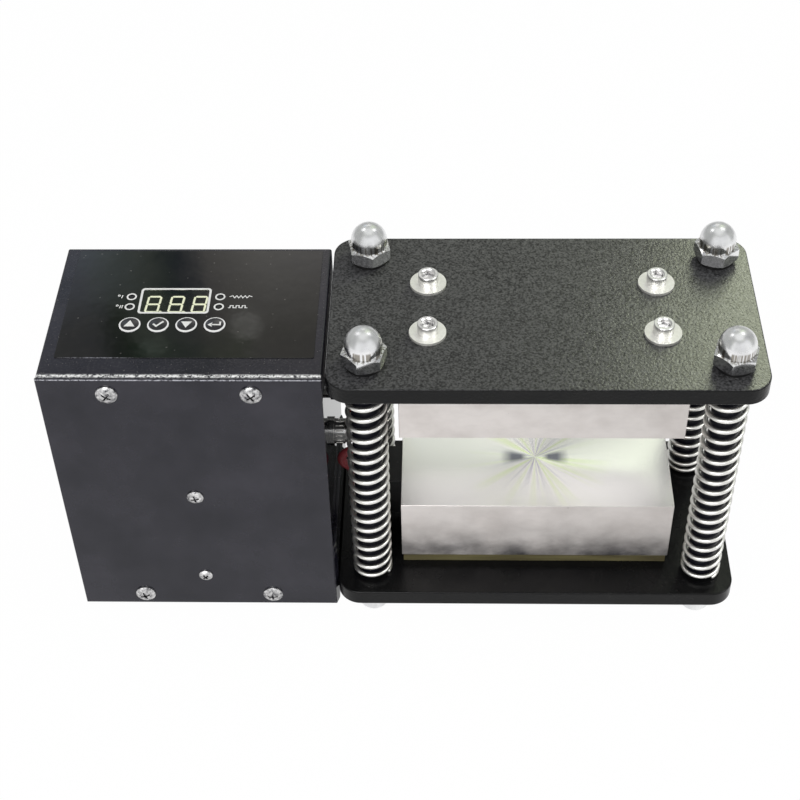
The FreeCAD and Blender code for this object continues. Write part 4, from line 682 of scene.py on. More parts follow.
@dataclass(frozen=True)
class CoatedPlate(Finish):
    """Textured powder coat whose upper face is paler than its edges, with a haze that is partly dust
    and partly a painted sheen.
    """

    # Pale haze on the upper face: partly dust, partly a painted sheen that lightens it.
    haze_and_sheen_colour: Colour = (0.064, 0.064, 0.067)
    haze_and_sheen_size: float = 1.1 * MM
    haze_and_sheen_cloud: Pair = (0.35, 0.65)
    haze_and_sheen_share: Pair = (0.12, 1.0)
    haze_roughness: float = 0.30

    def coloured(self, wires: Wiring, colour: Socket) -> Socket:
        """Adds the haze of dust and painted sheen on the upper face, thicker on some grains than on
        others.
        """
        grain = wires.noise(wires.counted(self.haze_and_sheen_size), 2.0)
        cloud = wires.remap(grain, self.haze_and_sheen_cloud, self.haze_and_sheen_share)
        return wires.mix(wires.times(wires.facing("Z"), cloud), colour, self.haze_and_sheen_colour)

    def roughened(self, wires: Wiring, rough: Socket) -> Socket:
        """Makes the upper face rougher than the edges."""
        return wires.blend(wires.facing("Z"), rough, self.haze_roughness)


@dataclass(frozen=True)
class EdgedSheet(Finish):
    """A dark sheet with a painted highlight in specks along a seam across its top, and a second one
    along its rim if the rim has a width.
    """

    # Where the painted highlights lie along the seam and the rim, and their colours.
    seam: float = 0.0
    seam_top: float = 0.0
    seam_ends: Pair = (-1.0, 1.0)
    seam_fade: float = 12.0 * MM
    seam_width: float = 1.7 * MM
    seam_highlight_colour: Colour = WHITE
    rim: float = 0.0
    rim_width: float = 0.0
    rim_highlight_colour: Colour = (0.42, 0.42, 0.47)

    def coloured(self, wires: Wiring, colour: Socket) -> Socket:
        """Adds the painted highlight in pale specks along the seam, and along the rim if it has a
        width.
        """
        for place, width, pale in ((self.seam, self.seam_width, self.seam_highlight_colour),
                                   (self.rim, self.rim_width, self.rim_highlight_colour)):
            if width > 0.0:
                painted_highlight = wires.group(seam_highlight_group(), {
                    "Place": place, "Start": self.seam_ends[0], "End": self.seam_ends[1],
                    "Top": self.seam_top, "Width": width, "Fade": self.seam_fade})
                colour = wires.mix(painted_highlight.outputs["Mask"], colour, pale)
        return colour


@dataclass(frozen=True)
class FoldedSheet(EdgedSheet):
    """Painted sheet with glossy side walls that are dull along their upper edge."""

    wall_roughness: float = 0.03
    wall_relief: float = 0.1
    dull_above: float = 176.0 * MM
    dull_roughness: float = 0.75

    def roughened(self, wires: Wiring, rough: Socket) -> Socket:
        """Makes the two side walls glossier than the rest, up to their dull upper edge."""
        high = wires.maths("GREATER_THAN", wires.part("Z"), self.dull_above)
        wall = wires.blend(high, self.wall_roughness, self.dull_roughness)
        return wires.blend(wires.facing("X"), rough, wall)

    def raised(self, wires: Wiring, height: Socket) -> Socket:
        """Makes the two side walls smoother than the rest."""
        share = wires.blend(wires.facing("X"), 1.0, self.wall_relief)
        return wires.times(height, share)


@dataclass(frozen=True)
class RingedButton(Finish):
    """A dark glossy button with a printed ring at its rim."""

    centre: Point = (0.0, 0.0)
    ring_r: float = 4.8 * MM
    ring_blur: float = 0.15 * MM
    ring_shift: float = 0.2 * MM
    ring_colour: Colour = (0.78, 0.78, 0.78)
    top: float = 192.0 * MM

    def coloured(self, wires: Wiring, colour: Socket) -> Socket:
        """Adds the printed ring."""
        x, y = self.centre
        _, distance = wires.from_axis((x, y + self.ring_shift, 0.0))
        inner = wires.remap(distance, (self.ring_r, self.ring_r + self.ring_blur))
        high = wires.maths("GREATER_THAN", wires.part("Z"), self.top)
        return wires.mix(wires.times(inner, high), colour, self.ring_colour)


@dataclass(frozen=True)
class DomeNut(Finish):
    """A dome nut: a satin dome over polished sides, with upright streaks of painted reflection where
    the two meet.
    """

    hexagon_top: float = 203.2 * MM
    # Upright streaks of painted reflection at the foot of the dome.
    reflection_streak_height: float = 5.0 * MM
    reflection_streak_size: float = 1.3 * MM
    reflection_streak_cloud: Pair = (0.46, 0.56)
    reflection_streak_colour: Colour = (0.32, 0.30, 0.27)
    side_roughness: float = 0.12

    def above(self, wires: Wiring, height: float) -> Socket:
        """1 above a height and 0 a little below it."""
        return wires.remap(wires.part("Z"), (height - MM, height))

    def coloured(self, wires: Wiring, colour: Socket) -> Socket:
        """Adds the painted reflection streaks at the foot of the dome."""
        point = wires.vector("DIVIDE", wires.place(), (self.reflection_streak_size, self.reflection_streak_size, 1.0))
        reflection_streak = wires.remap(wires.noise(point, 2.0), self.reflection_streak_cloud)
        foot = wires.maths("SUBTRACT", self.above(wires, self.hexagon_top),
                           self.above(wires, self.hexagon_top + self.reflection_streak_height), clamp=True)
        return wires.mix(wires.times(reflection_streak, foot), colour, self.reflection_streak_colour)

    def roughened(self, wires: Wiring, rough: Socket) -> Socket:
        """Makes the sides smoother than the dome."""
        dome = self.above(wires, self.hexagon_top + self.reflection_streak_height)
        return wires.blend(dome, self.side_roughness, rough)


@dataclass(frozen=True)
class SmokedGlass(Finish):
    """A clear smoked pane."""

    bending: float = 1.45

    def finished(self, wires: Wiring, shader: Node) -> None:
        """Lets light through."""
        shader.inputs["Transmission Weight"].default_value = 1.0
        shader.inputs["IOR"].default_value = self.bending


@dataclass(frozen=True)
class PaintedGlowPlastic(Finish):
    """Pale plastic with painted light: an emission that makes it glow though it is no lamp, as on an
    unlit digit bar.
    """

    # Strength of the painted glow.
    glow: float = 0.1

    def finished(self, wires: Wiring, shader: Node) -> None:
        """Adds the painted glow."""
        shader.inputs["Emission Color"].default_value = rgba(self.colour)
        shader.inputs["Emission Strength"].default_value = self.glow


@dataclass(frozen=True)
class CircuitBoard(Finish):
    """Green lacquered board with brighter copper tracks beneath."""

    track_colour: Colour = (0.05, 0.22, 0.07)
    track_size: float = 3.0 * MM
    track_edge: Pair = (0.05, 0.09)

    def coloured(self, wires: Wiring, colour: Socket) -> Socket:
        """Adds the tracks."""
        cells = wires.add("TexVoronoi", {"feature": "DISTANCE_TO_EDGE"},
                          {"Vector": wires.counted(self.track_size), "Scale": 1.0})
        track = wires.remap(cells.outputs["Distance"], self.track_edge, (1.0, 0.0))
        return wires.mix(track, colour, self.track_colour)


POWDER_COAT = Finish("cage_powder_coat", (0.003, 0.003, 0.0035), (0.005, 0.005, 0.005),
                     (0.18, 0.28), specular=0.18, grain_size=1.2 * MM,
                     relief=0.14 * MM, edge_radius=0.6 * MM, dust=0.06,
                     dust_size=2.4 * MM, wear=0.05)
# The upper plate, whose upper face is lightened by a haze of dust and painted sheen.
HAZE_AND_SHEEN_COAT = CoatedPlate("haze_and_sheen_powder_coat", (0.003, 0.003, 0.0035), (0.005, 0.005, 0.005),
                        (0.18, 0.28), specular=0.18, grain_size=1.3 * MM,
                        relief=0.22 * MM, edge_radius=0.4 * MM, dust=0.2,
                        dust_size=2.4 * MM, wear=0.05)
# The box paint's pale bluish edge wear is partly real wear and partly a painted edge highlight.
BOX_PAINT = FoldedSheet("box_paint", (0.006, 0.006, 0.012), (0.020, 0.019, 0.028), (0.12, 0.20),
                        specular=0.37, grain_size=0.7 * MM, relief=0.022 * MM,
                        blotch_size=45.0 * MM,
                        edge_radius=0.7 * MM, dust=1.0, dust_size=1.4 * MM,
                        wear=0.3, wear_width=0.4 * MM, wear_and_highlight_colour=(0.45, 0.45, 0.52))
PANEL_FILM = EdgedSheet("panel_gloss", (0.003, 0.003, 0.004), (0.005, 0.005, 0.005), (0.04, 0.07),
                        specular=0.42, grain_size=14.0 * MM, relief=0.03 * MM,
                        edge_radius=0.15 * MM, dust=0.2, dust_size=4.5 * MM)
PRINT_WHITE = Finish("print_white", (0.78, 0.78, 0.77), (0.68, 0.68, 0.67), (0.38, 0.5),
                     grain_size=0.25 * MM, relief=0.004 * MM,
                     edge_radius=0.02 * MM, dust=0.05)
WINDOW_SMOKE = SmokedGlass("window_smoke", (0.30, 0.32, 0.27), (0.27, 0.29, 0.25), (0.03, 0.06),
                           grain_size=10.0 * MM, relief=0.02 * MM,
                           edge_radius=0.1 * MM, dust=0.0)
DISPLAY_BODY = Finish("display_black", (0.022, 0.024, 0.018), (0.03, 0.03, 0.022), (0.45, 0.6),
                      grain_size=0.4 * MM, dust=0.1)
# Unlit digit bars with a painted glow.
DIGIT_BAR = PaintedGlowPlastic("digit_cream", (0.80, 0.77, 0.66), (0.72, 0.69, 0.58), (0.4, 0.5),
                           grain_size=0.5 * MM, dust=0.0, glow=3.6)
BLACK_OXIDE = Finish("rod_black_oxide", (0.004, 0.004, 0.008), (0.003, 0.003, 0.006), (0.36, 0.46),
                     specular=0.2, grain_size=0.6 * MM, stretch=(1.0, 1.0, 0.15),
                     relief=0.005 * MM, wear=0.3)
SPRING_NICKEL = Finish("spring_nickel", (0.84, 0.83, 0.80), (0.74, 0.73, 0.70), (0.32, 0.42),
                       metallic=1.0, grain_size=0.4 * MM, blotch_size=6.0 * MM,
                       relief=0.002 * MM, edge_radius=0.1 * MM, dust=0.0)
STAINLESS = DomeNut("nut_stainless", (0.92, 0.92, 0.93), (0.76, 0.76, 0.77), (0.24, 0.34),
                    metallic=1.0, grain_size=0.5 * MM, blotch_size=5.0 * MM,
                    stretch=(1.0, 1.0, 6.0), relief=0.004 * MM,
                    edge_radius=0.35 * MM, dust=0.1)
BLACK_WASHER = Finish("washer_black", (0.028, 0.028, 0.030), (0.040, 0.038, 0.036), (0.3, 0.42),
                      metallic=0.7, grain_size=0.3 * MM, wear=0.4,
                      wear_width=0.3 * MM)
# Zinc plate with painted shade in its recesses.
ZINC = Finish("zinc_plate", (0.82, 0.81, 0.80), (0.66, 0.65, 0.66), (0.26, 0.38), metallic=1.0,
              grain_size=0.4 * MM, blotch_size=1.6 * MM, relief=0.012 * MM,
              edge_radius=0.2 * MM, dust=0.15, crevice_shade=0.9)
DULL_ZINC = replace(ZINC, name="dull_zinc_plate", colour=(0.96, 0.95, 0.91),
                    blotch_colour=(0.88, 0.87, 0.82), roughness=(0.50, 0.62), crevice_shade=0.0)
# The stained zinc keeps the painted shade in its recesses.
STAINED_ZINC = replace(ZINC, name="stained_zinc_plate", colour=(0.82, 0.81, 0.81),
                       blotch_colour=(0.05, 0.05, 0.06), blotch_size=2.2 * MM,
                       relief=0.10 * MM)
BRONZE = Finish("bush_bronze", (0.48, 0.27, 0.11), (0.36, 0.19, 0.08), (0.25, 0.4), metallic=1.0,
                grain_size=0.2 * MM)
ALUMINIUM = MilledAluminium("block_aluminium", (0.72, 0.68, 0.66), (0.61, 0.57, 0.55), (0.36, 0.48),
                            metallic=1.0, grain_size=0.5 * MM,
                            blotch_size=15.0 * MM, stretch=(1.6, 1.0, 1.0),
                            relief=0.004 * MM, edge_radius=0.12 * MM, dust=0.1,
                            anisotropy=0.85)
FIBRE_BOARD = Finish("insulation_brown", (0.150, 0.132, 0.058), (0.070, 0.058, 0.026), (0.5, 0.65),
                     grain_size=0.5 * MM, blotch_size=7.0 * MM,
                     stretch=(6.0, 6.0, 0.5), relief=0.05 * MM)
HEATER_STEEL = Finish("heater_steel", (0.48, 0.45, 0.40), (0.36, 0.31, 0.25), (0.3, 0.4),
                      metallic=1.0, blotch_size=8.0 * MM)
COVER_BLACK = Finish("cover_steel", (0.007, 0.007, 0.008), (0.011, 0.011, 0.012), (0.28, 0.38),
                     specular=0.3, grain_size=1.0 * MM, relief=0.05 * MM,
                     edge_radius=0.4 * MM)
BLACK_PLASTIC = Finish("plastic_black", (0.020, 0.020, 0.021), (0.026, 0.026, 0.027), (0.38, 0.5),
                       grain_size=0.35 * MM, relief=0.012 * MM,
                       edge_radius=0.35 * MM, dust=0.1)
LAMP_CLEAR = Finish("lamp_clear", (0.008, 0.009, 0.010), (0.014, 0.015, 0.014), (0.2, 0.3),
                    specular=0.3, grain_size=0.6 * MM, dust=0.0)
BOARD_GREEN = CircuitBoard("board_green", (0.015, 0.11, 0.035), (0.02, 0.13, 0.045), (0.2, 0.35),
                           grain_size=0.5 * MM)
IRON = Finish("transformer_iron", (0.14, 0.13, 0.12), (0.19, 0.16, 0.13), (0.4, 0.55),
              metallic=0.8, grain_size=0.5 * MM, stretch=(20.0, 1.0, 20.0),
              relief=0.03 * MM)
BRASS = Finish("post_brass", (0.60, 0.44, 0.17), (0.50, 0.35, 0.13), (0.22, 0.34), metallic=1.0,
               grain_size=0.3 * MM)
CHROME = Finish("connector_chrome", (0.11, 0.11, 0.11), (0.07, 0.07, 0.07), (0.18, 0.28),
                metallic=1.0, grain_size=0.4 * MM, blotch_size=3.0 * MM,
                relief=0.002 * MM, edge_radius=0.25 * MM, dust=0.0, wear=1.0,
                wear_width=0.4 * MM)
SLEEVE = Finish("sleeve_red", (0.22, 0.028, 0.034), (0.15, 0.018, 0.022), (0.4, 0.55),
                grain_size=0.3 * MM, blotch_size=5.0 * MM,
                relief=0.02 * MM, edge_radius=0.05 * MM, dust=0.1)


def paint(node: Object, material: Material) -> None:
    """Gives all of an object's material slots one material."""
    if not node.material_slots:
        node.data.materials.append(material)
    for slot in node.material_slots:
        slot.material = material


def dress(frame: dict, finish: Finish, nodes: Iterable[str]) -> None:
    """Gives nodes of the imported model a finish.

    Args:
        finish: The finish.
        nodes: The nodes' names.
    """
    for name in nodes:
        paint(frame["nodes"][name], finish.material())
        LOG.info("%s is dressed in %s", name, finish.name)


# Meshes


def new_piece(name: str, points: Sequence[Place], faces: Sequence[Sequence[int]], finish: Finish,
              smooth: bool) -> Object:
    """Makes an object from points and faces.

    Args:
        name: The piece's name.
        points: Its points in metres.
        faces: The numbers of each face's points.
        finish: Its finish.
        smooth: Whether its faces are shaded smooth.

    Returns:
        The object, linked to the scene.
    """
    mesh = bpy.data.meshes.new(name)
    mesh.from_pydata([tuple(point) for point in points], [], [tuple(face) for face in faces])
    mesh.validate()
    mesh.polygons.foreach_set("use_smooth", [smooth] * len(mesh.polygons))
    mesh.update()
    piece = bpy.data.objects.new(name, mesh)
    bpy.context.scene.collection.objects.link(piece)
    paint(piece, finish.material())
    return piece


class Solids:
    """Points and faces of several closed solids that make up one piece."""

    def __init__(self) -> None:
        """Starts with nothing."""
        self.points: list[Place] = []
        self.faces: list[tuple[int, ...]] = []

    def plate(self, outline: Outline, low: float, high: float) -> None:
        """Adds a flat plate.

        Args:
            outline: Its outline in x and y, anticlockwise.
            low: Height of its underside.
            high: Height of its top.
        """
        first = len(self.points)
        count = len(outline)
        self.points += [(x, y, low) for x, y in outline]
        self.points += [(x, y, high) for x, y in outline]
        self.faces.append(tuple(first + i for i in reversed(range(count))))
        self.faces.append(tuple(first + count + i for i in range(count)))
        for i in range(count):
            j = (i + 1) % count
            self.faces.append((first + i, first + j, first + count + j, first + count + i))

    def band(self, outer: Outline, inner: Outline,
             low: float, high: float) -> None:
        """Adds a flat closed band between two outlines with the same number of points.

        Args:
            outer: The outer outline in x and y, anticlockwise.
            inner: The inner outline in x and y, anticlockwise.
            low: Height of its underside.
            high: Height of its top.
        """
        first = len(self.points)
        count = len(outer)
        for outline, height in ((outer, low), (outer, high), (inner, high), (inner, low)):
            self.points += [(x, y, height) for x, y in outline]
        for side in range(4):
            here = first + side * count
            there = first + (side + 1) % 4 * count
            for i in range(count):
                j = (i + 1) % count
                self.faces.append((here + i, here + j, there + j, there + i))

    def stroke(self, line: Outline, width: float, low: float,
               high: float) -> None:
        """Adds a drawn line with mitred corners.

        Args:
            line: The points of its middle in x and y.
            width: Its width.
            low: Height of its underside.
            high: Height of its top.
        """
        knots = [Vector(point) for point in line]
        left: list[Vector] = []
        right: list[Vector] = []
        for i, knot in enumerate(knots):
            before = (knot - knots[i - 1]).normalized() if i else None
            after = (knots[i + 1] - knot).normalized() if i + 1 < len(knots) else None
            way = ((before or after) + (after or before)).normalized()
            side = Vector((-way.y, way.x))
            square = Vector((-(before or after).y, (before or after).x))
            reach = width / 2.0 / max(side.dot(square), LEAST_MITRE)
            left.append(knot + side * reach)
            right.append(knot - side * reach)
        self.plate([tuple(p) for p in right] + [tuple(p) for p in reversed(left)], low, high)

    def piece(self, name: str, finish: Finish, smooth: bool = False) -> Object:
        """The piece made of what was added."""
        return new_piece(name, self.points, self.faces, finish, smooth)


def circle(x: float, y: float, radius: float, steps: int = 48) -> list[Point]:
    """The points of a circle, anticlockwise."""
    return [(x + radius * math.cos(2.0 * math.pi * i / steps),
             y + radius * math.sin(2.0 * math.pi * i / steps)) for i in range(steps)]


def rounded_rectangle(x: float, y: float, width: float, depth: float, corner: float,
                      steps: int = 8) -> list[Point]:
    """The points of a rectangle with rounded corners, anticlockwise.

    Args:
        x: Middle in x.
        y: Middle in y.
        width: Size in x.
        depth: Size in y.
        corner: Radius of its corners.
        steps: Steps of each corner.

    Returns:
        Its points.
    """
    points = []
    for quarter, (side_x, side_y) in enumerate(((1, 1), (-1, 1), (-1, -1), (1, -1))):
        middle_x = x + side_x * (width / 2.0 - corner)
        middle_y = y + side_y * (depth / 2.0 - corner)
        for i in range(steps + 1):
            angle = math.pi / 2.0 * (quarter + i / steps)
            points.append((middle_x + corner * math.cos(angle), middle_y + corner * math.sin(angle)))
    return points


def tube(path: Sequence[Vector], sides: int, radius: Callable[[float, float], float],
         solids: Solids) -> None:
    """Adds a closed tube along a path.

    Args:
        path: The points of its middle.
        sides: Number of points around it.
        radius: Its radius at a distance along it and an angle around it.
        solids: Where it is added.
    """
    first = len(solids.points)
    way = (path[1] - path[0]).normalized()
    side = way.orthogonal().normalized()
    travelled = 0.0
    for i, here in enumerate(path):
        before = path[max(i - 1, 0)]
        after = path[min(i + 1, len(path) - 1)]
        turned = (after - before).normalized()
        side = (side - turned * side.dot(turned)).normalized()
        across = turned.cross(side)
        travelled += (here - before).length
        for j in range(sides):
            angle = 2.0 * math.pi * j / sides
            reach = radius(travelled, angle)
            solids.points.append(tuple(here + (side * math.cos(angle) + across * math.sin(angle))
                                       * reach))
    for i in range(len(path) - 1):
        for j in range(sides):
            k = (j + 1) % sides
            low = first + i * sides
            solids.faces.append((low + j, low + k, low + sides + k, low + sides + j))
    last = first + (len(path) - 1) * sides
    solids.faces.append(tuple(first + j for j in reversed(range(sides))))
    solids.faces.append(tuple(last + j for j in range(sides)))


def moved(points: Outline, x: float, y: float, up: float = 1.0) -> list[Point]:
    """Points in millimetres, moved to a place and, with an up of -1, turned upside down."""
    return [(x + along * MM, y + up * across * MM) for along, across in points]


# Sub-assemblies

# Signs on the panel, in millimetres from their places.
ARROW = ((-2.8, -1.9), (2.8, -1.9), (0.0, 2.9))
CHECK_MARK = ((-2.5, 0.1), (-0.7, -1.7), (2.7, 2.0))
RETURN_LINE = ((2.9, 1.9), (2.9, -0.5), (-1.6, -0.5))
RETURN_HEAD = ((-3.6, -0.5), (-1.3, -2.2), (-1.3, 1.2))
BAR = ((-0.2, -1.2), (0.2, 1.2))
ZIGZAG = ((0.0, 0.0), *((1.65 + 1.1 * i, 0.9 - 1.8 * (i % 2)) for i in range(9)), (12.1, 0.0))
BEAT = ((1.0, -0.8), (1.0, 0.9), (2.6, 0.9), (2.6, -0.8))
PULSE = ((0.0, -0.8), *((3.2 * i + x, y) for i in range(3) for x, y in BEAT), (10.2, -0.8))


@dataclass
class Cage:
    """The two cage plates with their rods, nuts, washers and springs."""

    wire_d: float = 2.6 * MM
    mean_d: float = 19.9 * MM
    active_turns: int = 18
    end_rise: float = 3.1 * MM
    seat_clearance: float = 0.1 * MM
    floor_top: float = 33.0 * MM
    spacing: float = 150.0 * MM
    travel: float = 53.8 * MM
    centre_x: float = 74.8 * MM
    pitch_x: float = 187.6 * MM
    pitch_y: float = 84.0 * MM
    end_angles: dict[str, float] = field(default_factory=lambda: {
        "front_left": -30.0, "front_right": -55.0, "rear_left": 60.0, "rear_right": 110.0})
    steps_per_turn: int = 56
    wire_sides: int = 16

    def rod_place(self, corner: str) -> Pair:
        """X and y of the rod at a named corner."""
        side_x = -1.0 if corner.endswith("left") else 1.0
        side_y = -1.0 if corner.startswith("front") else 1.0
        return self.centre_x + side_x * self.pitch_x / 2.0, side_y * self.pitch_y / 2.0

    def wire_height(self, turn: float) -> float:
        """Height of the wire's middle above its lower end, after a number of turns."""
        free = self.spacing - 2.0 * self.seat_clearance - self.wire_d - 2.0 * self.end_rise
        if turn <= 1.0:
            return self.end_rise * turn
        if turn <= 1.0 + self.active_turns:
            return self.end_rise + free * (turn - 1.0) / self.active_turns
        return self.end_rise + free + self.end_rise * (turn - 1.0 - self.active_turns)

    def build_spring(self, corner: str) -> Object:
        """Winds one spring around its rod.

        Args:
            corner: The corner's name, such as front_left.

        Returns:
            The spring, which rides on the cage base.
        """
        x, y = self.rod_place(corner)
        base = self.floor_top + self.seat_clearance + self.wire_d / 2.0
        turns = self.active_turns + 2
        count = turns * self.steps_per_turn
        path = []
        for i in range(count + 1):
            turn = i / self.steps_per_turn
            angle = math.radians(self.end_angles[corner]) + 2.0 * math.pi * turn
            path.append(Vector((x + self.mean_d / 2.0 * math.cos(angle),
                                y + self.mean_d / 2.0 * math.sin(angle),
                                base + self.wire_height(turn))))
        solids = Solids()
        tube(path, self.wire_sides, lambda travelled, angle: self.wire_d / 2.0, solids)
        piece = solids.piece("wound_spring_" + corner, SPRING_NICKEL, smooth=True)
        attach(piece, Body.CAGE.value)
        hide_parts("spring_" + corner)
        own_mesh(piece)
        LOG.info("%s: %d turns", piece.name, turns)
        return piece

    def build(self, frame: dict) -> None:
        """Dresses the plates, rods and nuts and winds the springs."""
        dress(frame, POWDER_COAT, ("lower_cage_plate",))
        dress(frame, HAZE_AND_SHEEN_COAT, ("upper_cage_plate",))
        dress(frame, BRONZE, ("guide_bushes",))
        dress(frame, BLACK_WASHER, ("upper_stop_washers", "lower_stop_washers"))
        dress(frame, STAINLESS, DOME_NUT_NODES)
        for corner in self.end_angles:
            dress(frame, BLACK_OXIDE, ("guide_rod_" + corner,))
            self.build_spring(corner)


@dataclass
class HeatedBlocks:
    """The two heated blocks with their boards, screws, heaters and terminal covers."""

    sides: tuple[str, str] = ("lower", "upper")

    def build(self, frame: dict) -> None:
        """Dresses both blocks and what they carry."""
        for side in self.sides:
            dress(frame, ALUMINIUM, (side + "_heater_block",))
            dress(frame, FIBRE_BOARD, (side + "_insulation_board",))
            dress(frame, ZINC, (side + "_block_screws", side + "_cover_screws"))
            dress(frame, DULL_ZINC, (side + "_block_washers",))
            dress(frame, HEATER_STEEL, (side + "_heater_cartridges", side + "_temperature_probe"))
            dress(frame, COVER_BLACK, (side + "_terminal_cover",))


@dataclass
class ControlBox:
    """The control box, what is inside it and what passes through its walls."""

    seam_depth: float = 0.5 * MM
    seam_inset: float = 1.6 * MM
    rim_width: float = 0.6 * MM

    def build(self, frame: dict) -> None:
        """Dresses the box and its parts."""
        low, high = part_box("front_cover")
        # The box paint gets painted highlights along the seam behind the cover and along the cover's
        # top front edge.
        paint_job = replace(BOX_PAINT, seam=high.y + self.seam_inset,
                            seam_top=high.z - self.seam_depth, rim=low.y,
                            rim_width=self.rim_width)
        dress(frame, paint_job, ("box_shell", "front_cover", "side_mounting_plate"))
        dress(frame, STAINED_ZINC, ("front_cover_screws",))
        dress(frame, ZINC, ("cage_fixing_screws", "rear_wall_screws", "board_screws"))
        dress(frame, IRON, ("transformer",))
        dress(frame, BRASS, ("board_standoffs",))
        dress(frame, BOARD_GREEN, ("control_board",))
        dress(frame, BLACK_PLASTIC, ("tact_switches", "solid_state_relay", "mains_inlet",
                                     "fuse_drawer", "switch_housing", "power_rocker"))
        dress(frame, CHROME, ("connector_sockets", "connector_plugs"))


@dataclass
class Panel:
    """The glossy top panel with its window, digits, lights, buttons and print."""

    film_top: float = 191.9 * MM
    print_t: float = 0.05 * MM
    frame_centre: Point = (-121.8 * MM, 8.05 * MM)
    frame_outer: Pair = (37.8 * MM, 20.6 * MM)
    frame_stroke: float = 1.2 * MM
    frame_corner: float = 2.0 * MM
    frame_inner_corner: float = 1.28 * MM
    light_r: float = 1.5 * MM
    light_ring: Pair = (2.75 * MM, 1.85 * MM)
    display_top: float = 188.9 * MM
    digit_size: Pair = (6.6 * MM, 12.4 * MM)
    digit_bar: float = 1.05 * MM
    digit_gap: float = 0.2 * MM
    digit_pitch: float = 12.4 * MM
    digit_slant: float = 4.0
    digit_t: float = 0.25 * MM
    digits_centre: Point = (-121.3 * MM, 8.0 * MM)
    point_gap: float = 1.6 * MM
    point_r: float = 0.8 * MM
    point_steps: int = 24
    dot_place: Point = (-6.8 * MM, 0.9 * MM)
    dot_ring: Pair = (0.75 * MM, 0.3 * MM)
    dot_steps: int = 20
    bar_place: float = -5.1 * MM
    bar_pitch: float = 1.1 * MM
    bar_stroke: float = 0.56 * MM
    label_gap: float = 5.0 * MM
    label_stroke: float = 0.525 * MM
    check_stroke: float = 1.0 * MM
    return_stroke: float = 0.9 * MM
    sign_sunk: float = 0.2 * MM
    sign_t: float = 0.02 * MM
    button_rise: float = 0.9 * MM
    # A painted highlight in specks along the left part of the film's front edge.
    highlight_from: float = 1.0 * MM
    highlight_to: float = 42.0 * MM
    highlight_width: float = 0.5 * MM
    highlight_colour: Colour = (0.22, 0.22, 0.25)

    def light_centres(self) -> list[Point]:
        """Middles of the four lights, left pair first and the rear one first."""
        low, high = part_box("indicator_lights")
        return [(x, y) for x in (low.x + self.light_r, high.x - self.light_r)
                for y in (high.y - self.light_r, low.y + self.light_r)]

    def build_frame_print(self) -> Object:
        """The printed outline around the display window."""
        x, y = self.frame_centre
        width, depth = self.frame_outer
        solids = Solids()
        outer = rounded_rectangle(x, y, width, depth, self.frame_corner)
        twice = 2.0 * self.frame_stroke
        inner = rounded_rectangle(x, y, width - twice, depth - twice, self.frame_inner_corner)
        solids.band(outer, inner, self.film_top, self.film_top + self.print_t)
        return solids.piece("display_outline_print", PRINT_WHITE)

    def build_light_prints(self) -> Object:
        """The printed rings around the four lights."""
        solids = Solids()
        for x, y in self.light_centres():
            solids.band(circle(x, y, self.light_ring[0]), circle(x, y, self.light_ring[1]),
                        self.film_top, self.film_top + self.print_t)
        return solids.piece("light_ring_prints", PRINT_WHITE)

    def build_label_prints(self) -> Object:
        """Plain signs beside the lights: one bar, two bars, a heater's zigzag and a pulse."""
        solids = Solids()
        low, high = self.film_top, self.film_top + self.print_t
        (left_x, rear_y), (_, front_y), (right_x, _), _ = self.light_centres()
        for y, bars in ((rear_y, 1), (front_y, 2)):
            dot = (left_x + self.dot_place[0], y + self.dot_place[1])
            outer, inner = (circle(*dot, radius, self.dot_steps) for radius in self.dot_ring)
            solids.band(outer, inner, low, high)
            for i in range(bars):
                bar = moved(BAR, left_x + self.bar_place + self.bar_pitch * i, y)
                solids.stroke(bar, self.bar_stroke, low, high)
        for sign, y in ((ZIGZAG, rear_y), (PULSE, front_y)):
            solids.stroke(moved(sign, right_x + self.label_gap, y), self.label_stroke, low, high)
        return solids.piece("label_prints", PRINT_WHITE)

    def digit_bars(self) -> list[tuple[Pair, Pair]]:
        """The ends of a digit's seven bars, from its middle, before it is slanted."""
        half_w, half_h = self.digit_size[0] / 2.0, self.digit_size[1] / 2.0
        flat = [((-half_w, y), (half_w, y)) for y in (-half_h, 0.0, half_h)]
        upright = [((x, y - half_h), (x, y)) for x in (-half_w, half_w) for y in (0.0, half_h)]
        return flat + upright

    def build_digits(self) -> Object:
        """Three digits of seven pointed bars and a point each, all bars alike."""
        solids = Solids()
        low, high = self.display_top, self.display_top + self.digit_t
        half = self.digit_bar / 2.0
        lean = math.tan(math.radians(self.digit_slant))
        for digit in (-1, 0, 1):
            x0 = self.digits_centre[0] + digit * self.digit_pitch
            y0 = self.digits_centre[1]
            for start, end in self.digit_bars():
                first, last = Vector(start), Vector(end)
                way = (last - first).normalized()
                side = Vector((-way.y, way.x))
                first += way * self.digit_gap
                last -= way * self.digit_gap
                corners = [first, first + (way - side) * half, last - (way + side) * half, last,
                           last + (side - way) * half, first + (way + side) * half]
                solids.plate([(x0 + p.x + lean * p.y, y0 + p.y) for p in corners], low, high)
            right = self.digit_size[0] / 2.0 + self.point_gap
            drop = self.digit_size[1] / 2.0
            point = circle(x0 + right - lean * drop, y0 - drop, self.point_r, self.point_steps)
            solids.plate(point, low, high)
        return solids.piece("display_digits", DIGIT_BAR)

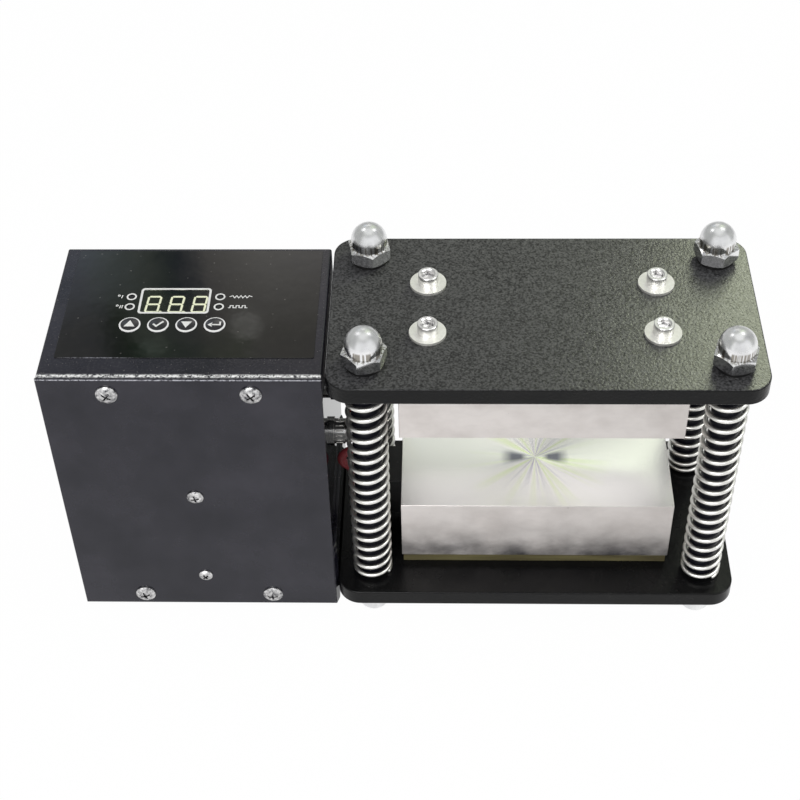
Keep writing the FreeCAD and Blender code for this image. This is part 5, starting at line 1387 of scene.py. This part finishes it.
    def button_sign(self, solids: Solids, body: Body, x: float, y: float, low: float,
                    high: float) -> None:
        """Adds the sign of one button.

        Args:
            solids: Where it is added.
            body: The button's body, which tells the sign.
            x: The button's middle in x.
            y: The button's middle in y.
            low: Height of the sign's underside.
            high: Height of the sign's top.
        """
        if body is Body.BUTTON_UP:
            solids.plate(moved(ARROW, x, y), low, high)
        elif body is Body.BUTTON_DOWN:
            solids.plate(moved(ARROW, x, y, -1.0)[::-1], low, high)
        elif body is Body.BUTTON_SELECT:
            solids.stroke(moved(CHECK_MARK, x, y), self.check_stroke, low, high)
        else:
            solids.stroke(moved(RETURN_LINE, x, y), self.return_stroke, low, high)
            solids.plate(moved(RETURN_HEAD, x, y), low, high)

    def build_button(self, frame: dict, node: str, body: Body) -> None:
        """Dresses one button and prints its sign on it.

        Args:
            node: The button's node.
            body: The body that it moves with.
        """
        low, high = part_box(node)
        x, y = (low.x + high.x) / 2.0, (low.y + high.y) / 2.0
        finish = RingedButton(node + "_black", (0.010, 0.010, 0.013), (0.014, 0.014, 0.017),
                              (0.12, 0.2), grain_size=2.0 * MM, dust=0.1,
                              edge_radius=0.15 * MM, centre=(x, y))
        paint(frame["nodes"][node], finish.material())
        solids = Solids()
        crown = self.film_top + self.button_rise
        self.button_sign(solids, body, x, y, crown - self.sign_sunk, crown + self.sign_t)
        sign = solids.piece(node + "_sign", PRINT_WHITE)
        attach(sign, body.value)
        LOG.info("%s carries %s", node, sign.name)

    def build(self, frame: dict) -> None:
        """Dresses the panel and adds its print, digits and signs."""
        low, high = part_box("panel_film")
        # A painted highlight along the film's front edge.
        speck_span = (low.x + self.highlight_from, low.x + self.highlight_to)
        film = replace(PANEL_FILM, seam=low.y, seam_top=low.z, seam_ends=speck_span,
                       seam_width=self.highlight_width, seam_highlight_colour=self.highlight_colour)
        dress(frame, film, ("panel_film",))
        dress(frame, WINDOW_SMOKE, ("display_window",))
        dress(frame, DISPLAY_BODY, ("display_module",))
        dress(frame, LAMP_CLEAR, ("indicator_lights",))
        for piece in (self.build_frame_print(), self.build_light_prints(), self.build_label_prints()):
            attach(piece, Body.CAGE.value)
            LOG.info("%s lies on the film", piece.name)
        digits = self.build_digits()
        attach(digits, Body.CAGE.value)
        LOG.info("%s lie on the display module", digits.name)
        for node, body in (("button_up", Body.BUTTON_UP), ("button_select", Body.BUTTON_SELECT),
                           ("button_down", Body.BUTTON_DOWN), ("button_accept", Body.BUTTON_ACCEPT)):
            self.build_button(frame, node, body)


@dataclass
class HeaterLeads:
    """The two short leads in braided sleeves between the box's plugs and the terminal covers."""

    diameter: float = 5.0 * MM
    strands: int = 10
    strand_rise: float = 0.14 * MM
    strand_lay: float = 9.0 * MM
    sides: int = 60
    resolution: int = 24
    order: int = 3
    lower_route: tuple[Place, ...] = (
        (-26.9, -18.0, 120.0), (-21.5, -18.0, 120.0), (-16.3, -18.0, 114.8), (-16.3, -18.0, 110.8),
        (-21.3, -18.0, 105.8), (-29.0, -18.0, 105.8), (-35.5, -18.0, 101.0), (-35.5, -18.0, 95.0),
        (-30.0, -16.0, 88.5), (-26.0, -12.0, 78.0), (-24.0, -8.0, 68.5), (-17.5, -5.0, 62.0),
        (-10.3, -5.0, 62.0))
    upper_route: tuple[Place, ...] = (
        (-26.9, 18.0, 120.0), (-21.5, 18.0, 120.0), (-16.4, 17.8, 114.8), (-16.4, 15.4, 103.0),
        (-22.9, 10.3, 98.2), (-29.5, 5.2, 103.0), (-29.9, 5.0, 114.0), (-29.8, 5.0, 125.4),
        (-28.9, 5.0, 136.4), (-25.2, 5.0, 146.8), (-18.2, 5.0, 154.0), (-10.3, 5.0, 154.0))
    bend_start: Place = (-10.9, 15.4, 103.1)
    bend_end: Place = (-10.9, -1.12, 105.25)

    def centreline(self, name: str, route: Sequence[Place]) -> list[Vector]:
        """The smooth line that a lead follows.

        Args:
            name: The lead's name.
            route: The route's points in millimetres.

        Returns:
            Points along the line, in metres.
        """
        curve = bpy.data.curves.new(name + "_line", "CURVE")
        curve.dimensions = "3D"
        curve.resolution_u = self.resolution
        spline = curve.splines.new("NURBS")
        spline.points.add(len(route) - 1)
        for point, place in zip(spline.points, route):
            point.co = (*(Vector(place) * MM), 1.0)
        spline.order_u = self.order
        spline.use_endpoint_u = True
        line = bpy.data.objects.new(name + "_line", curve)
        bpy.context.scene.collection.objects.link(line)
        bpy.context.view_layer.update()
        shown = line.evaluated_get(bpy.context.evaluated_depsgraph_get())
        mesh = bpy.data.meshes.new_from_object(shown)
        points = [vertex.co.copy() for vertex in mesh.vertices]
        bpy.data.objects.remove(line)
        bpy.data.meshes.remove(mesh)
        return points

    def braid(self, travelled: float, angle: float) -> float:
        """Radius of the braided sleeve at a distance along it and an angle around it."""
        along = 2.0 * math.pi * travelled / self.strand_lay
        one = math.sin(self.strands / 2.0 * (angle + along))
        other = math.sin(self.strands / 2.0 * (angle - along))
        return self.diameter / 2.0 - self.strand_rise * abs(one * other)

    def build_lead(self, name: str, route: Sequence[Place], node: str) -> Object:
        """Builds one sleeved lead in place of its node.

        Args:
            name: The piece's name.
            route: The route's points in millimetres.
            node: The node that it replaces.

        Returns:
            The lead, which rides on nothing yet.
        """
        solids = Solids()
        tube(self.centreline(name, route), self.sides, self.braid, solids)
        piece = solids.piece(name, SLEEVE, smooth=True)
        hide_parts(node)
        LOG.info("%s replaces %s", name, node)
        return piece

    def build(self) -> None:
        """Builds both leads. The lower one rides on the cage base; the upper one rides on no body."""
        lower = self.build_lead("lower_sleeved_lead", self.lower_route, "lower_heater_lead")
        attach(lower, Body.CAGE.value)
        upper = self.build_lead("upper_sleeved_lead", self.upper_route, "upper_heater_lead")
        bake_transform(upper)


@dataclass(frozen=True)
class SoftBox:
    """A large soft lamp."""

    name: str
    place: Place
    size: Pair
    power: float
    colour: Colour = WHITE
    aim: Place = (0.0, 0.0, 0.1)
    only_on: tuple[str, ...] = ()
    never_on: tuple[str, ...] = ()

    def build(self, frame: dict) -> Object:
        """Hangs the lamp and aims it.


        Returns:
            The lamp, which lights all nodes, or only or never the named ones.
        """
        light = bpy.data.lights.new(self.name, "AREA")
        light.shape = "RECTANGLE"
        light.size, light.size_y = self.size
        light.energy = self.power
        light.color = self.colour
        lamp = bpy.data.objects.new(self.name, light)
        lamp.location = self.place
        lamp.rotation_mode = "QUATERNION"
        lamp.rotation_quaternion = (Vector(self.aim) - Vector(self.place)).to_track_quat("-Z", "Y")
        lamp.visible_camera = False
        bpy.context.scene.collection.objects.link(lamp)
        if self.only_on or self.never_on:
            named = bpy.data.collections.new(self.name + "_nodes")
            for node in self.only_on + self.never_on:
                named.objects.link(frame["nodes"][node])
            for member in named.collection_objects:
                member.light_linking.link_state = "INCLUDE" if self.only_on else "EXCLUDE"
            lamp.light_linking.receiver_collection = named
        LOG.info("lamp %s hangs at %s", self.name, self.place)
        return lamp


@dataclass(frozen=True)
class RoomPatch:
    """A part of the room that mirrors show paler or darker, such as a wall or a window."""

    name: str
    bearing: float
    rise: float
    half_width: float
    half_height: float
    added: Colour
    softness: float = 4.0

    def seen(self, wires: Wiring, way: Socket) -> Socket:
        """What the patch adds to the room's colour in a direction."""
        node = wires.group(room_patch_group(), {
            "Way": way, "Bearing": self.bearing, "Rise": self.rise, "Half Width": self.half_width,
            "Half Height": self.half_height, "Softness": self.softness})
        LOG.info("mirrors show %s", self.name)
        return wires.scaled(node.outputs["Mask"], self.added)


@dataclass
class Studio:
    """The pale floor, the surroundings, the soft lamps and the camera."""

    floor_radius: float = 4.0
    floor_steps: int = 96
    floor_colour: Colour = (0.90, 0.90, 0.90)
    floor_cloud: float = 2.0 / 3.0
    floor_cloudy: Pair = (0.3, 0.7)
    floor_tone: Pair = (0.98, 1.0)
    floor_white: float = 0.985
    floor_mirrored: float = 0.98
    floor_mirror_glow: float = 0.55
    ambient: float = 0.50
    room_level: float = 0.56
    room_clouds: Place = (7.0, 7.0, 9.0)
    room_dimmed: Pair = (0.38, 0.62)
    room_tones: Pair = (0.72, 1.0)
    room_tinted: Pair = (0.42, 0.58)
    room_tints: tuple[Colour, Colour] = ((0.96, 0.97, 1.0), (0.97, 1.0, 0.93))
    room_darkest: Colour = (0.02, 0.02, 0.02)
    camera_place: Place = (0.02117, -0.6421, 0.75268)
    camera_forward: Place = (-0.02663, 0.71552, -0.69808)
    camera_up: Place = (-0.00225, 0.69829, 0.71582)
    lens: float = 72.64
    sensor: float = 36.0
    patches: tuple[RoomPatch, ...] = (
        RoomPatch("green_shelf", -14.2, 39.5, 1.0, 2.0, (0.02, 0.09, -0.02), 1.2),
        RoomPatch("dark_door", -12.0, 38.5, 0.6, 1.6, (-0.25, -0.22, -0.18), 0.7),
        RoomPatch("brown_wall", -7.5, 40.0, 3.2, 3.0, (0.16, 0.12, 0.09), 1.2),
        RoomPatch("dark_table", -12.0, 42.5, 2.5, 0.7, (-0.14, -0.08, -0.14), 0.7),
        RoomPatch("bright_shelf", -1.0, 35.0, 7.0, 2.5, (1.15, 1.12, 1.10), 4.0),
        RoomPatch("blue_window", -19.0, 35.0, 3.0, 2.5, (0.60, 0.72, 0.92), 3.0),
        RoomPatch("pale_card", -9.3, 41.3, 0.35, 0.15, (1.5, 1.5, 1.45), 0.3),
        RoomPatch("small_card", -13.7, 41.6, 0.4, 0.12, (0.42, 0.48, 0.44), 0.3),
        RoomPatch("dark_post", -15.2, 41.4, 0.4, 1.2, (-0.26, -0.28, -0.26), 0.5),
        RoomPatch("pale_ceiling", 0.0, 90.0, 180.0, 18.0, (0.40, 0.40, 0.40), 14.0),
        RoomPatch("pale_wall", 165.0, 20.0, 60.0, 25.0, (0.40, 0.40, 0.41), 12.0),
        RoomPatch("green_glare", 24.0, 45.0, 6.0, 12.0, (0.30, 0.38, 0.20), 8.0),
    )
    lamps: tuple[SoftBox, ...] = (
        SoftBox("key_softbox", (-0.5, -1.5, 1.5), (1.2, 1.0), 24.0, never_on=DOME_NUT_NODES),
        SoftBox("fill_softbox", (1.55, -0.3, 1.4), (0.9, 0.8), 13.0, colour=(0.97, 1.0, 0.95),
                never_on=DOME_NUT_NODES),
        SoftBox("back_softbox", (0.62, 1.3, 1.5), (0.45, 0.55), 0.8, colour=(0.93, 1.0, 0.84),
                never_on=DOME_NUT_NODES),
        SoftBox("left_dome_softbox", (-0.66, 0.55, 1.39), (0.35, 0.35), 0.8, only_on=DOME_NUT_NODES),
        SoftBox("right_dome_softbox", (0.68, 0.55, 1.39), (0.35, 0.35), 0.8, only_on=DOME_NUT_NODES),
        SoftBox("near_softbox", (0.27, 0.25, 0.43), (0.14, 0.24), 1.5, colour=(0.93, 1.0, 0.72),
                aim=(0.17, 0.0, 0.19), only_on=("upper_cage_plate",)),
    )

    def build_floor(self) -> Object:
        """Lays the floor, which shows white and keeps the object's shadow."""
        material = bpy.data.materials.new("floor_white")
        material.use_nodes = True
        wires = Wiring(material.node_tree)
        shader = material.node_tree.nodes["Principled BSDF"]
        cloud = wires.noise(wires.counted(self.floor_cloud), 2.0)
        tone = wires.remap(cloud, self.floor_cloudy, self.floor_tone)
        path = wires.add("LightPath")
        dimmed = wires.blend(path.outputs["Is Glossy Ray"], 1.0, self.floor_mirrored)
        tone = wires.times(tone, dimmed)
        wires.feed(shader.inputs["Base Color"], wires.scaled(tone, self.floor_colour))
        shader.inputs["Roughness"].default_value = 0.9
        shader.inputs["Specular IOR Level"].default_value = 0.0
        glow = wires.add("Emission", inputs={"Color": rgba(WHITE), "Strength": 1.0})
        mixed = wires.add("MixShader")
        direct = wires.maths("ADD", path.outputs["Is Camera Ray"],
                             path.outputs["Is Transmission Ray"], clamp=True)
        white = wires.times(direct, self.floor_white)
        mirrored = wires.times(path.outputs["Is Glossy Ray"], self.floor_mirror_glow)
        wires.feed(mixed.inputs[0], wires.maths("ADD", white, mirrored, clamp=True))
        wires.feed(mixed.inputs[1], shader.outputs[0])
        wires.feed(mixed.inputs[2], glow.outputs[0])
        wires.feed(material.node_tree.nodes["Material Output"].inputs["Surface"], mixed.outputs[0])
        mesh = bpy.data.meshes.new("studio_floor")
        outline = circle(0.0, 0.0, self.floor_radius, self.floor_steps)
        mesh.from_pydata([(x, y, 0.0) for x, y in outline], [], [tuple(range(len(outline)))])
        floor = bpy.data.objects.new("studio_floor", mesh)
        bpy.context.scene.collection.objects.link(floor)
        paint(floor, material)
        LOG.info("the floor lies at z = 0")
        return floor

    def build_surroundings(self) -> None:
        """White for the camera, a plain room with bright and dark parts in mirrors, grey light."""
        world = bpy.data.worlds.new("studio_room")
        bpy.context.scene.world = world
        world.use_nodes = True
        wires = Wiring(world.node_tree)
        way = wires.add("TexCoord").outputs["Generated"]
        cloud = wires.noise(wires.vector("MULTIPLY", way, self.room_clouds), 1.0)
        tone = wires.remap(cloud, self.room_dimmed, self.room_tones)
        level = wires.times(tone, self.room_level)
        tint = wires.mix(wires.remap(cloud, self.room_tinted), *self.room_tints)
        total = wires.scaled(level, tint)
        for patch in self.patches:
            total = wires.vector("ADD", total, patch.seen(wires, way))
        total = wires.vector("MAXIMUM", total, self.room_darkest)
        path = wires.add("LightPath")
        mirrored = wires.maths("ADD", path.outputs["Is Glossy Ray"],
                               path.outputs["Is Transmission Ray"], clamp=True)
        lit = wires.mix(mirrored, (self.ambient,) * 3, total)
        seen = wires.mix(path.outputs["Is Camera Ray"], lit, WHITE)
        background = world.node_tree.nodes["Background"]
        wires.feed(background.inputs["Color"], seen)
        background.inputs["Strength"].default_value = 1.0
        LOG.info("the room is built")

    def build_camera(self) -> Object:
        """Sets up the camera where the photograph was taken from."""
        data = bpy.data.cameras.new("photo_camera")
        data.lens = self.lens
        data.sensor_width = self.sensor
        camera = bpy.data.objects.new("photo_camera", data)
        back = -Vector(self.camera_forward).normalized()
        right = Vector(self.camera_up).cross(back).normalized()
        up = back.cross(right)
        turn = Matrix((right, up, back)).transposed()
        camera.matrix_world = Matrix.Translation(self.camera_place) @ turn.to_4x4()
        bpy.context.scene.collection.objects.link(camera)
        bpy.context.scene.camera = camera
        LOG.info("the camera stands at %s", self.camera_place)
        return camera

    def build(self, frame: dict) -> None:
        """Builds the studio."""
        bpy.context.scene.view_settings.view_transform = "Standard"
        self.build_floor()
        self.build_surroundings()
        for lamp in self.lamps:
            lamp.build(frame)
        self.build_camera()


def main() -> None:
    """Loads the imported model, dresses it and sets up the studio."""
    logging.basicConfig(level=logging.INFO, format="%(name)s: %(message)s")
    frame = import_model()
    Studio().build(frame)
    Cage().build(frame)
    HeatedBlocks().build(frame)
    ControlBox().build(frame)
    Panel().build(frame)
    HeaterLeads().build()


if __name__ == "__main__":
    main()
